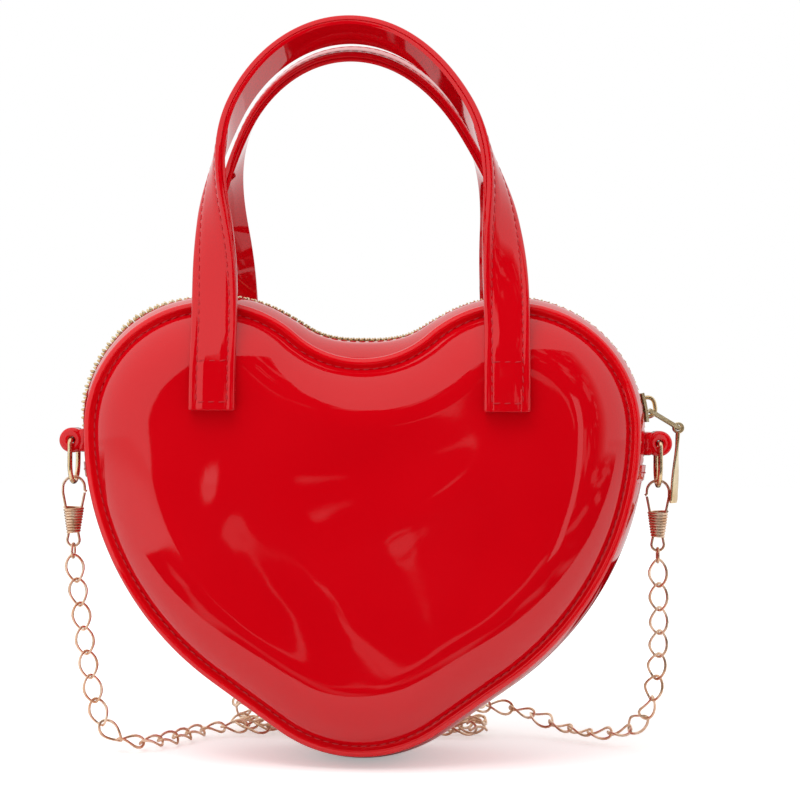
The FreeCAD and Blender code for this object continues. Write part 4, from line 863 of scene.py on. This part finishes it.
class BAG_OT_zip(bpy.types.Operator):
    """Makes the zip's two strips, tapes and rows of teeth over the top"""

    bl_idname = "heart_bag.zip"
    bl_label = "Zip"

    # The strips sink towards the teeth, and the zip bridges the cleft and stands prouder on the left lobe.
    SINK = 0.8
    SINK_RUN = 7.0
    CLEFT_RUN = 36.0
    LOBE_START = 62.0
    LOBE_RUN = 30.0
    LOBE_END_RUN = 26.0

    # The tape's reach across and its depths under the arch.
    TAPE_OUTER = 12.5
    TAPE_INNER = 2.2
    TAPE_DEPTHS = (1.75, 2.4)

    # A tooth's rings: place across and share of its full size.
    TOOTH_RINGS = ((-0.7, 0.7), (-0.45, 1.0), (3.2, 1.0), (3.45, 0.75))
    TOOTH_OUT = 3.0
    TOOTH_HALF_LENGTH = 0.58
    TOOTH_HALF_HEIGHT = 1.2
    TOOTH_FIRST_SHARE = 1.5
    TOOTH_SHIFT_SHARE = 0.25
    TOOTH_SQUARING = 0.75

    SEAM = 2.4
    THREAD_LIFT_SHARE = 0.15

    def execute(self, context):
        bag = measured()
        along = np.linspace(bag.join, bag.total - bag.join, 620)
        for word, side in SIDES:
            for name, node, slot, finish, shape in (
                ("top_strip", "zip_strip", "patent_sheet", "red_patent_sheet", self.strip),
                ("woven_tape", "zip_tape", "zip_tape", "red_zip_tape", self.tape),
                ("metal_teeth", "zip_teeth", "gold_metal", "gold_plating", self.teeth),
            ):
                made = piece(f"{word}_{name}", [shape(bag, along, side)], finish)
                ends = (f"{word}_{node}_ends",) if side < 0 else ()
                stands_for(made, slot, f"{word}_{node}", *ends)
                goes_with(made, side)
            seam = piece(f"{word}_strip_stitches", [self.seam(bag, along, side)], "red_sewing_thread")
            goes_with(seam, side)
        return {"FINISHED"}

    def lift(self, bag, along, y):
        """How much further out the zip runs at the cleft and on the left lobe, fading to the piping."""
        past_cleft = along - bag.total / 2
        to_end = bag.total / 2 - bag.join - past_cleft
        cleft = bag.cleft_lift * (1 - smooth(np.abs(past_cleft) / self.CLEFT_RUN))
        lobe = bag.lobe_lift * smooth((past_cleft - self.LOBE_START) / self.LOBE_RUN)
        lobe = lobe * smooth(to_end / self.LOBE_END_RUN)
        share = np.abs(y) / bag.gusset_edge
        return cleft[:, None] * (1 - share**2) + lobe[:, None] * (1 - share) ** 2

    def profile(self, bag, along, y, depth, side):
        """Places on the arch over the top, which sinks a little towards the teeth."""
        sunk = depth + self.SINK * smooth((bag.strip_edge + self.SINK_RUN - y) / self.SINK_RUN)
        out = arch_out(bag, sunk, y) + self.lift(bag, along, y)
        return carried(bag, along, -out, side * y)

    def strip(self, bag, along, side):
        """A strip folded over at its edge by the zip: out along its face, round the fold and back under."""
        half_wall = bag.gusset_wall / 2
        turn = np.linspace(0, math.pi, 9)[1:-1]
        face = np.linspace(bag.gusset_edge, bag.strip_edge + half_wall, 16)
        y = np.concatenate([face, bag.strip_edge + half_wall * (1 - np.sin(turn)), face[::-1]])
        fold = half_wall * (1 - np.cos(turn))
        depth = np.concatenate([np.zeros(16), fold, np.full(16, bag.gusset_wall)])
        return tube(self.profile(bag, along, y, depth, side), side < 0)

    def tape(self, bag, along, side):
        """The woven tape under the strip, from below its middle to the teeth."""
        face = np.linspace(self.TAPE_OUTER, self.TAPE_INNER, 10)
        y = np.concatenate([face, face[::-1]])
        return tube(self.profile(bag, along, y, np.repeat(self.TAPE_DEPTHS, 10), side), side < 0)

    def teeth(self, bag, along, side):
        """Rounded metal teeth at an even pitch, those of one row in the gaps of the other."""
        count = int((along[-1] - along[0]) / bag.tooth_pitch) - 2
        first = self.TOOTH_FIRST_SHARE + self.TOOTH_SHIFT_SHARE * side
        at = along[0] + (np.arange(count) + first) * bag.tooth_pitch
        angle = circle(8) + math.pi / 8
        square = np.stack([np.cos(angle), np.sin(angle)])
        square = square / np.abs(square).max(0) ** self.TOOTH_SQUARING
        y, share = (np.array(column)[:, None] for column in zip(*self.TOOTH_RINGS))
        out = self.TOOTH_OUT + self.lift(bag, at, np.zeros(1))[:, 0]
        middle, outward = on_edge(bag, at, -out)
        way = np.stack([outward[:, 1], -outward[:, 0]], -1)
        axes = (standing(way, 0.0), standing(outward, 0.0), np.tile((0.0, side, 0.0), (count, 1)))
        long = share * square[0] * self.TOOTH_HALF_LENGTH
        high = share * square[1] * self.TOOTH_HALF_HEIGHT
        points = placed(standing(middle, 0.0), axes, (long, high, y))
        return repeated(tube(points[0], side < 0), points)

    def seam(self, bag, along, side):
        """The stitch line beside the strip's folded edge."""
        y = np.array([bag.strip_edge + self.SEAM])
        depth = np.array([-bag.thread * self.THREAD_LIFT_SHARE])
        path = self.profile(bag, along, y, depth, side)[:, 0]
        above = self.profile(bag, along, y, depth - 1, side)[:, 0]
        return stitched_line(bag, path, unit(above - path), 21 + side)


# Handles

FRONT_LEAN = math.radians(16)
BACK_LEAN = math.radians(20)
TWIST_START = 2.0
TWIST_END = 88.0
HINGE_GAP = 0.3

# A strap's stitch lines from its edges, its swell between them, its dip at them and its rounded edges.
STRAP_SEAM = 2.6
STRAP_SWELL = 0.16
SWELL_GAP = 0.2
STRAP_DIP = 0.2
DIP_WIDTH = 0.5
EDGE_ROUND = 0.5
EDGE_SHARE = 0.1
FLAT_SHARE = 0.85
RIM_SHARE = 0.93
STITCH_SINK = 0.25

# A strap's side from face to back: how far it stands past the edge, its shoulders and the groove's levels.
SIDE_OUTS = np.array((0.1, 0.08, -0.28, 0.08, 0.0))
FACE_SHOULDER = 1.5
GROOVE_LEVELS = (-0.2, -0.45, -0.7)
BACK_SHOULDER = 0.6
BACK_INSET = 0.35


def strap_profile(bag):
    """A strap's closed section, across its width and through its thickness.

    The face swells between its two stitch lines, the edges are rounded and a groove parts the layers.
    """
    half = bag.strap_width / 2
    top = bag.strap_thickness / 2
    seam = half - STRAP_SEAM
    rim_shares = np.linspace(RIM_SHARE, 1, 4)
    flat_shares = np.linspace(-FLAT_SHARE, FLAT_SHARE, 35)
    wide = half * np.concatenate([-rim_shares[::-1], flat_shares, rim_shares])
    swell = STRAP_SWELL * smooth((seam - SWELL_GAP - np.abs(wide)) / STRAP_SEAM)
    dip = STRAP_DIP * np.exp(-((np.abs(wide) - seam) / DIP_WIDTH) ** 2)
    rounding = EDGE_ROUND * np.clip((np.abs(wide) / half - 1 + EDGE_SHARE) / EDGE_SHARE, 0, 1) ** 2
    face = top - STRAP_SWELL + swell - dip - rounding
    side_thick = np.array((top - FACE_SHOULDER, *GROOVE_LEVELS, BACK_SHOULDER - top))
    side_wide = half + SIDE_OUTS
    back = np.linspace(1, -1, 12) * (half - BACK_INSET)
    across = np.concatenate([wide, side_wide, back, -side_wide[::-1]])
    through = np.concatenate([face, side_thick, np.full(12, -top), side_thick[::-1]])
    return across, through


def strap(bag, places, across, out, drawn_in, flip):
    """A strap's section carried along its middle line, drawn in by shares."""
    wide, thick = strap_profile(bag)
    shares = drawn_in[:, None]
    points = (
        places[:, None]
        + across[:, None] * (wide * (0.5 + shares / 2))[..., None]
        + out[:, None] * (thick * shares)[..., None]
    )
    return tube(points, flip)


def strap_reach(bag):
    """How far a sewn strap's middle line lies from the bag's middle."""
    return bag.half_depth + bag.face_rise + HINGE_GAP + bag.strap_thickness / 2


def foot_bow(bag, lean, height):
    """How far a strap's end has gone back with the face's curve, which ends at the handle's lean."""
    run = bag.strap_hinge - bag.strap_foot
    return math.tan(lean) / (2 * run) * (height - bag.strap_foot) ** 2


def handle_path(bag, lean, drop, count=110):
    """Middle line, width direction and facing of a handle from its right end over the arch to its left.

    Upright legs and half an ellipse in a plane that leans in; the strap turns a quarter on each leg and
    the arch sways to the left.
    """
    lean_up = np.array((0, math.sin(lean), math.cos(lean)))
    lean_front = np.array((0, -math.cos(lean), math.sin(lean)))
    sideways = np.array((1.0, 0, 0))
    half = bag.strap_spread / 2
    top = (bag.tip_drop + bag.strap_thickness / 2 - drop - bag.strap_hinge) / math.cos(lean)
    rise = top - bag.handle_leg
    way = np.linspace(0, top, count)
    angle = (math.pi / 2 * np.maximum(way - bag.handle_leg, 0) / rise)[:, None]
    height = np.minimum(way, bag.handle_leg)[:, None] + rise * np.sin(angle)
    middle = half * np.cos(angle) * sideways + height * lean_up
    outward = unit(rise * np.cos(angle) * sideways + half * np.sin(angle) * lean_up)
    height = middle @ lean_up
    sway = bag.handle_sway * smooth(height / top)[:, None] * sideways
    middle = middle + np.array((0, -strap_reach(bag), bag.strap_hinge))
    middle[:, 1] += foot_bow(bag, lean, bag.strap_hinge) * (1 - smooth(height / top))
    twist = math.pi / 2 * smooth((height - TWIST_START) / (TWIST_END - TWIST_START))[:, None]
    edgewise = -outward * np.cos(twist) + lean_front * np.sin(twist)
    facing = lean_front * np.cos(twist) + outward * np.sin(twist)
    mirror = np.array((-1, 1, 1))
    halves = ((middle - sway, middle + sway), (edgewise, edgewise), (facing, facing))
    return [np.concatenate([right, left[-2::-1] * mirror]) for right, left in halves]


class BAG_OT_handles(bpy.types.Operator):
    """Makes the two handles: twisted straps over the top and their sewn ends, with their stitches"""

    bl_idname = "heart_bag.handles"
    bl_label = "Handles"

    # The foot's end is drawn in: heights above it and shares of the section there.
    END_HEIGHTS = (0.0, 0.15, 0.5)
    END_SHARES = (0.9, 0.97, 1.0)
    BOX_LOW = 3.0
    BOX_HEIGHT = 14.5
    CROSS_LIFT = 0.2

    def execute(self, context):
        bag = measured()
        for (word, side), lean, drop in zip(SIDES, (FRONT_LEAN, BACK_LEAN), (0.0, bag.back_drop)):
            turn = np.array((1, -side, 1))
            places, across, out = (line * turn for line in handle_path(bag, lean, drop))
            over = strap(bag, places, across, out, np.ones(len(places)), side > 0)
            arch = piece(f"{word}_strap_arch", [over], "red_patent_strap")
            stands_for(arch, "patent_sheet", f"{word}_handle_strap", f"{word}_handle_backing")
            offset = across * (bag.strap_width / 2 - STRAP_SEAM)
            face = places + out * (bag.strap_thickness / 2 - STITCH_SINK)
            lines = [stitched_line(bag, face + edge * offset, out, 31 + edge) for edge in (-1, 1)]
            seam = piece(f"{word}_arch_stitches", lines, "red_sewing_thread")
            for part in (arch, seam):
                self.bend_above_foot(bag, part, word, side)
            self.feet(bag, word, side, lean)
        return {"FINISHED"}

    def bend_above_foot(self, bag, part, word, side):
        """Bake a handle's placement into its mesh."""
        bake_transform(part)

    def feet(self, bag, word, side, lean):
        """The sewn ends, down the face from where the strap leaves it, and their box of stitches."""
        low, hinge = bag.strap_foot, bag.strap_hinge
        heights = np.concatenate([low + np.array(self.END_HEIGHTS), np.linspace(low + 1, hinge, 24)])
        drawn_in = np.concatenate([self.END_SHARES, np.ones(24)])
        tilt = np.arctan(math.tan(lean) * (heights - low) / (hinge - low))
        out = np.stack([np.zeros(len(heights)), side * np.cos(tilt), np.sin(tilt)], -1)
        y = side * (strap_reach(bag) - foot_bow(bag, lean, heights))
        straps = []
        seams = []
        for hand in (-1, 1):
            x = hand * bag.strap_spread / 2
            places = np.stack([np.full(len(heights), x), y, heights], -1)
            across = np.tile((-hand, 0, 0), (len(heights), 1))
            straps.append(strap(bag, places, across, out, drawn_in, side * hand > 0))
            seams.extend(self.box(bag, x, side, lean, hand))
        ends = piece(f"{word}_strap_feet", straps, "red_patent_strap")
        stands_for(ends, "patent_sheet", f"{word}_strap_ends", f"{word}_backing_ends")
        goes_with(ends, side)
        goes_with(piece(f"{word}_foot_stitches", seams, "red_sewing_thread"), side)

    def box(self, bag, x, side, lean, hand):
        """Two long lines up the strap, one across its end and one across above the box."""
        left = x - bag.strap_width / 2 + STRAP_SEAM
        right = x + bag.strap_width / 2 - STRAP_SEAM
        face = strap_reach(bag) + bag.strap_thickness / 2 - STITCH_SINK
        low = bag.strap_foot + self.BOX_LOW
        top = low + self.BOX_HEIGHT
        runs = (
            ((left, low), (left, bag.strap_hinge), 0.0),
            ((right, low), (right, bag.strap_hinge), 0.0),
            ((left, low), (right, low), self.CROSS_LIFT),
            ((left, top), (right, top), self.CROSS_LIFT),
        )
        made = []
        for number, (first, last, lift) in enumerate(runs):
            share = np.linspace(0, 1, 60)[:, None]
            flat = np.array(first) * (1 - share) + np.array(last) * share
            path = standing(flat, side * (face + lift - foot_bow(bag, lean, flat[:, 1])))
            made.append(stitched_line(bag, path, (0.0, side, 0.0), 41 + number + 10 * hand))
        return made


def rolled(x, z, half_width, radius, bore, near, far):
    """A rolled strip: a section with rounded corners turned about a line along Y.

    The corners at the bore have the near radius and those outside the far one.
    """
    turn = circle(40)[:, None]
    corner = np.linspace(0, math.pi / 2, 6)
    sine = 1 - np.sin(corner)
    cosine = 1 - np.cos(corner)
    r = np.concatenate([bore + near * sine[::-1], radius - far * sine])
    y = np.concatenate([half_width - near * cosine[::-1], half_width - far * cosine])
    r = np.concatenate([r, r[::-1]])
    y = np.concatenate([y, -y[::-1]])
    flat = np.stack([x + np.cos(turn) * r, z + np.sin(turn) * r], -1)
    return grid(standing(flat, y), wrap=(True, True))


class BAG_OT_tabs(bpy.types.Operator):
    """Makes the rolled tabs that hold the rings"""

    bl_idname = "heart_bag.tabs"
    bl_label = "Side tabs"

    BORE = 1.28
    CORNERS = (0.5, 1.3)
    FOOT_LAP = 0.2
    FOOT_HALF_THICKNESS = 2.0
    FOOT_HEIGHTS = np.array((-4.4, -4.1, -3.0, 0.0, 3.0, 4.1, 4.4))
    FOOT_SHARES = np.array((0.55, 0.9, 1.0, 1.0, 1.0, 0.9, 0.55))
    SQUARING = 0.35

    def execute(self, context):
        for word, hand in HANDS:
            low, high = node_box(f"{word}_tab")
            _, half_width, radius = (high - low) / 2
            x = high[0] - radius if hand > 0 else low[0] + radius
            z = (low[2] + high[2]) / 2
            loop = rolled(x, z, half_width, radius, self.BORE, *self.CORNERS)
            foot = self.foot(x - hand * (radius - self.FOOT_LAP), z, half_width)
            made = piece(f"{word}_rolled_tab", [loop, foot], "red_patent_piping")
            stands_for(made, "patent_sheet", f"{word}_tab")
            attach(made, "bag")
        return {"FINISHED"}

    def foot(self, x, z, half_width):
        """The flat end of the strip, sewn to the gusset beside the loop: a squared-off upright tube."""
        shares = self.FOOT_SHARES[:, None]
        angle = circle(24)
        thick = shares * squared(np.cos(angle), self.SQUARING) * self.FOOT_HALF_THICKNESS
        wide = shares * squared(np.sin(angle), self.SQUARING) * half_width
        heights = np.broadcast_to((z + self.FOOT_HEIGHTS)[:, None], wide.shape)
        return tube(np.stack([x + thick, wide, heights], -1))


# The chain's route: from the left clip down to the floor, along it and behind the bag, folded in rows,
# and up to the right clip. Heights are above the floor.
LEFT_ROUTE = (
    (-109.3, 0.0, 73.3),
    (-106.0, 0.5, 50.0),
    (-102.0, -2.0, 27.0),
    (-97.0, -3.0, 7.0),
    (-84.0, 0.0, 3.2),
    (-72.0, 16.0, 3.2),
    (-66.0, 34.0, 3.2),
)
RIGHT_ROUTE = (
    (62.0, 50.0, 10.0),
    (74.0, 40.0, 5.0),
    (90.0, 29.0, 3.4),
    (106.0, 18.0, 8.0),
    (110.0, 9.0, 27.0),
    (110.5, 3.0, 50.0),
    (109.3, 0.0, 73.3),
)
ROW_START = -54.0
ROW_END = 46.1
ROW_FRONT = 40.0
ROW_PITCH = 7.9
ROW_LIFT = 3.8
ROW_LEAD = 9.1
BOTTOM_ROWS = 4
TOP_ROWS = 3


def chain_route():
    """The control points of the chain's smooth line, millimetres above the floor.

    The folded rows run there and back on the floor, then climb and run there and back on top.
    """
    points = list(LEFT_ROUTE)
    places = [(ROW_FRONT + row * ROW_PITCH, ROW_LIFT) for row in range(BOTTOM_ROWS)]
    top_front = ROW_FRONT + (BOTTOM_ROWS - 1) * ROW_PITCH
    places += [(top_front - row * ROW_PITCH, ROW_LIFT + ROW_PITCH) for row in range(TOP_ROWS)]
    row_places = (ROW_START, ROW_START + ROW_LEAD, ROW_END - ROW_LEAD, ROW_END)
    for row, (y, height) in enumerate(places):
        heading = 1 if row % 2 == 0 else -1
        points.extend((x, y, height) for x in row_places[::heading])
    return np.array(points + list(RIGHT_ROUTE))


class BAG_OT_chain(bpy.types.Operator):
    """Makes the clip-on chain of twisted oval links along its route"""

    bl_idname = "heart_bag.chain"
    bl_label = "Chain"

    ROUNDS = 22
    WIRE_SIDES = 6
    ROLL = 0.28
    STEEP_SHARE = 0.8125
    STEEP_RUN_SHARE = 0.625
    HANGING = np.array((0.0, -1.0, 0.0))
    LYING = np.array((0.0, -0.55, 1.0))

    def execute(self, context):
        bag = measured()
        path = self.smooth_line(bag)
        run = run_along(path)
        count = int(round(run[-1] / bag.link_pitch))
        joints = read_at(np.linspace(0, run[-1], count + 1), run, path)
        chain = piece("shoulder_chain", [self.links(bag, joints)], "rose_gold_plating")
        stands_for(chain, "gold_metal", "chain_left", "chain_folded", "chain_right")
        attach(chain, "bag")
        return {"FINISHED"}

    def smooth_line(self, bag):
        """Points read from the NURBS spline that the route's points control."""
        route = chain_route() - np.array((0, 0, bag.gusset_rise))
        data = bpy.data.curves.new("chain_route", "CURVE")
        data.dimensions = "3D"
        data.resolution_u = 16
        spline = data.splines.new("NURBS")
        spline.points.add(len(route) - 1)
        spline.points.foreach_set("co", np.column_stack([route, np.ones(len(route))]).ravel())
        spline.order_u = 3
        spline.use_endpoint_u = True
        route_object = bpy.data.objects.new("chain_route", data)
        read = bpy.data.meshes.new_from_object(route_object)
        points = np.zeros(len(read.vertices) * 3)
        read.vertices.foreach_get("co", points)
        bpy.data.objects.remove(route_object)
        bpy.data.curves.remove(data)
        bpy.data.meshes.remove(read)
        return points.reshape(-1, 3)

    def links(self, bag, joints):
        """Oval wire links from joint to joint, each twisted a quarter turn from end to end.

        Hanging links face the front, lying ones mostly up, and each is rolled a little at random.
        """
        draw = np.random.default_rng(7)
        u = circle(self.ROUNDS)[:, None]
        a = circle(self.WIRE_SIDES)
        half_length = (bag.link_length - bag.link_wire) / 2
        half_width = (bag.link_width - bag.link_wire) / 2
        wire_radius = bag.link_wire / 2
        slope = unit(np.stack([half_width * np.cos(u), half_length * np.sin(u)], -1))
        along = half_length * np.cos(u) + slope[..., 0] * np.cos(a) * wire_radius
        aside = half_width * np.sin(u) + slope[..., 1] * np.cos(a) * wire_radius
        above = np.broadcast_to(np.sin(a) * wire_radius, along.shape)
        twist = math.pi / 4 * along / half_length
        turned_aside = aside * np.cos(twist) - above * np.sin(twist)
        turned_above = aside * np.sin(twist) + above * np.cos(twist)
        middle = (joints[1:] + joints[:-1]) / 2
        way = unit(joints[1:] - joints[:-1])
        lying_share = smooth((self.STEEP_SHARE - np.abs(way[:, 2])) / self.STEEP_RUN_SHARE)[:, None]
        facing = self.HANGING * (1 - lying_share) + self.LYING * lying_share
        roll = draw.normal(0, self.ROLL, len(middle))[:, None]
        sideways = unit(np.cross(facing, way))
        turned = sideways * np.cos(roll) + np.cross(way, sideways) * np.sin(roll)
        axes = (way, turned, np.cross(way, turned))
        points = placed(middle, axes, (along, turned_aside, turned_above))
        return repeated(grid(points[0], wrap=(True, True)), points)


# Wire fittings


def wire(path, radius, reference):
    """A round wire along a line, each ring square to it; the line never runs along the reference."""
    way = unit(np.gradient(path, axis=0))
    aside = unit(np.cross(way, np.array(reference)))[:, None]
    around = np.cross(way[:, None], aside)
    angle = circle(8)[:, None]
    return tube(path[:, None] + radius * (np.cos(angle) * aside + np.sin(angle) * around))


def between(corners, step=0.4):
    """Points at about a step along straight runs from corner to corner, across and up."""
    runs = []
    for first, last in zip(corners[:-1], corners[1:]):
        count = max(int(math.dist(first, last) / step), 1)
        share = np.linspace(0, 1, count, endpoint=False)[:, None]
        runs.append(np.array(first) + share * (np.array(last) - np.array(first)))
    return np.concatenate(runs + [np.array(corners[-1:])])


class BAG_OT_clips(bpy.types.Operator):
    """Makes the two wire clips: a loop with a sprung gate, bound with a close coil above its eye"""

    bl_idname = "heart_bag.clips"
    bl_label = "Wire clips"

    WIRE = 0.5
    PLAY = 0.3
    LOOP = 4.1
    NOSE = 5.6
    NOSE_OUT = 0.7
    NOSE_RISE = 0.6
    GATE = 6.0
    NECK = 11.5
    NECK_HALF = 3.0
    FOOT_HALF = 1.75
    TURNS = 9
    COIL_TOP = 3.5
    COIL_BOTTOM = 2.15
    EYE = 2.3
    EYE_DROP = 2.9
    EYE_START = 0.35

    def execute(self, context):
        for word, hand in HANDS:
            low, high = node_box(f"{word}_clip_wire")
            coil_foot = node_box(f"{word}_clip_coil")[0][2]
            top = np.array(((low[0] + high[0]) / 2, 0, high[2] - self.WIRE + self.PLAY))
            foot = coil_foot - top[2] + self.WIRE
            for name, node, body, path, reference in (
                ("clip_loop", "clip_wire", "bag", self.loop(foot), (0, 1.0, 0)),
                ("clip_spring", "clip_gate", f"{word}_gate", self.gate(), (0, 1.0, 0)),
                ("clip_binding", "clip_coil", "bag", self.coil(foot), (0, 0, 1.0)),
            ):
                line = wire(path * np.array((hand, 1, 1)) + top, self.WIRE, reference)
                made = piece(f"{word}_{name}", [line], "rose_gold_plating")
                stands_for(made, "gold_metal", f"{word}_{node}")
                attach(made, body)
        return {"FINISHED"}

    def loop(self, foot):
        """Nose, half circle, a leg down through the coil, the eye and the leg that comes back up."""
        turn = np.linspace(math.pi, 0, 24)
        over = self.LOOP * np.stack([np.cos(turn), np.sin(turn) - 1], -1)
        down = between(((self.LOOP, -self.GATE), (self.NECK_HALF, -self.NECK), (self.FOOT_HALF, foot)))
        under = np.linspace(self.EYE_START, -math.pi - self.EYE_START, 24)
        eye = self.EYE * np.stack([np.cos(under), np.sin(under)], -1) + np.array((0, foot - self.EYE_DROP))
        up = between(((-self.FOOT_HALF, foot), (-self.NECK_HALF, -self.NECK)))
        nose_tip = (-self.LOOP - self.NOSE_OUT, -self.NOSE)
        nose = between((nose_tip, (-self.LOOP, self.NOSE_RISE - self.NOSE)))
        return standing(np.concatenate([nose, over, down, eye, up]), 0.0)

    def gate(self):
        """The sprung leg from the nose down into the coil."""
        return standing(between(((-self.LOOP, -self.GATE), (-self.NECK_HALF, -self.NECK))), 0.0)

    def coil(self, foot):
        """A narrowing helix whose turns touch."""
        share = np.linspace(0, 1, self.TURNS * 18)
        turn = 2 * math.pi * self.TURNS * share
        radius = self.COIL_TOP + (self.COIL_BOTTOM - self.COIL_TOP) * share
        height = -self.NECK + (foot + self.NECK) * share
        return np.stack([radius * np.cos(turn), radius * np.sin(turn), height], -1)


class BAG_OT_pull(bpy.types.Operator):
    """Makes the slider's bow and the zip's pull: a tapered plate that hangs from a rolled eye"""

    bl_idname = "heart_bag.pull"
    bl_label = "Zip pull"

    EYE = 2.1
    BORE = 1.2
    EYE_HALF = 1.7
    EYE_CORNERS = (0.2, 0.3)
    NECK_HALF = 2.2
    NECK_GAP = 0.3
    FOOT_HALF = 4.0
    HALF_THICKNESS = 0.7
    CORNER = 1.6
    CORNER_ENDS = (0.15, math.pi / 2 - 0.1)
    TWIST = math.radians(-24)
    TWIST_SHARE = 0.7
    SLANT_SHARE = -0.06
    BOW_HALF = 3.6
    BOW_RISE = 3.4
    BOW_WIRE = 0.75
    BOW_SQUARING = 0.7
    WIDE_SQUARING = 0.45
    THICK_SQUARING = 0.6

    def execute(self, context):
        bow = piece("slider_bow", [self.bow(measured())], "gold_plating")
        stands_for(bow, "gold_metal", "slider_bridge")
        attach(bow, "zip_slider")
        low, high = node_box("pull_tab")
        x = (low[0] + high[0]) / 2
        z = high[2] - self.EYE
        eye = rolled(x, z, self.EYE_HALF, self.EYE, self.BORE, *self.EYE_CORNERS)
        made = piece("pull_plate", [eye, self.plate(x, z, z - low[2])], "gold_plating")
        stands_for(made, "gold_metal", "pull_tab")
        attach(made, "zip_pull")
        return {"FINISHED"}

    def bow(self, bag):
        """A bent wire with rounded corners, square to the outline over the slider's plate."""
        low, high = node_box("slider_bridge")
        middle = (low + high) / 2
        gaps = np.linalg.norm(bag.edge - middle[[0, 2]], axis=1)
        outward = bag.outward[np.argmin(gaps)]
        way = np.array((-outward[1], outward[0]))
        turn = np.linspace(0, math.pi, 40)
        along = self.BOW_HALF * squared(np.cos(turn), self.BOW_SQUARING)
        rise = self.BOW_RISE * (squared(np.sin(turn), self.BOW_SQUARING) - 0.5) - self.BOW_WIRE / 2
        path = middle + standing(along[:, None] * way + rise[:, None] * outward, 0.0)
        return wire(path, self.BOW_WIRE, (0, 1.0, 0))

    def plate(self, x, z, drop):
        """A rounded section that widens on its way down, turns about the vertical and ends in an arc."""
        straight = drop - self.CORNER
        arc = np.sin(np.linspace(*self.CORNER_ENDS, 6))
        down = np.concatenate([
            np.linspace(self.BORE + self.NECK_GAP, straight, 24), straight + self.CORNER * arc
        ])
        half = self.NECK_HALF + (self.FOOT_HALF - self.NECK_HALF) * down / drop
        past = np.clip((down - straight) / self.CORNER, 0, 1)
        half = half - self.CORNER * (1 - np.sqrt(1 - past**2))
        angle = circle(20)
        wide = half[:, None] * squared(np.cos(angle), self.WIDE_SQUARING)
        thick = self.HALF_THICKNESS * squared(np.sin(angle), self.THICK_SQUARING)
        turn = (self.TWIST * smooth(down / (self.TWIST_SHARE * drop)))[:, None]
        return tube(np.stack([
            x + self.SLANT_SHARE * down[:, None] + thick * np.cos(turn) - wide * np.sin(turn),
            wide * np.cos(turn) + thick * np.sin(turn),
            np.broadcast_to((z - down)[:, None], wide.shape),
        ], -1))


class BAG_OT_fittings(bpy.types.Operator):
    """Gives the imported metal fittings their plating"""

    bl_idname = "heart_bag.fittings"
    bl_label = "Metal fittings"

    PLATED = {
        "gold_plating": ("slider_body", "pull_link", "zip_stops", "left_ring", "right_ring"),
        "rose_gold_plating": ("left_jump_ring", "right_jump_ring"),
    }

    def execute(self, context):
        for finish, names in self.PLATED.items():
            for name in names:
                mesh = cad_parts[name].data
                mesh.materials.clear()
                mesh.materials.append(finish_named(finish))
        return {"FINISHED"}


class BAG_PT_panel(bpy.types.Panel):
    """Lists the bag's sizes, colours and steps"""

    bl_idname = "BAG_PT_panel"
    bl_label = "Heart bag"
    bl_space_type = "VIEW_3D"
    bl_region_type = "UI"
    bl_category = "Heart bag"

    def draw(self, context):
        layout = self.layout
        for group in (context.scene.bag_sizes, context.scene.bag_colours):
            column = layout.column(align=True)
            for name in type(group).__annotations__:
                column.prop(group, name)
        for step in STEPS:
            layout.operator(step.bl_idname)


STEPS = (
    BAG_OT_stage,
    BAG_OT_chain,
    BAG_OT_faces,
    BAG_OT_piping,
    BAG_OT_gusset,
    BAG_OT_zip,
    BAG_OT_handles,
    BAG_OT_tabs,
    BAG_OT_clips,
    BAG_OT_pull,
    BAG_OT_fittings,
)
CLASSES = (BagSizes, BagColours, *STEPS, BAG_PT_panel)


def register():
    for each in CLASSES:
        bpy.utils.register_class(each)
    bpy.types.Scene.bag_sizes = bpy.props.PointerProperty(type=BagSizes)
    bpy.types.Scene.bag_colours = bpy.props.PointerProperty(type=BagColours)


def unregister():
    del bpy.types.Scene.bag_colours
    del bpy.types.Scene.bag_sizes
    for each in reversed(CLASSES):
        bpy.utils.unregister_class(each)


def main():
    """Builds the bag step by step."""
    register()
    for step in STEPS:
        group, name = step.bl_idname.split(".")
        getattr(getattr(bpy.ops, group), name)()


if __name__ == "__main__":
    main()
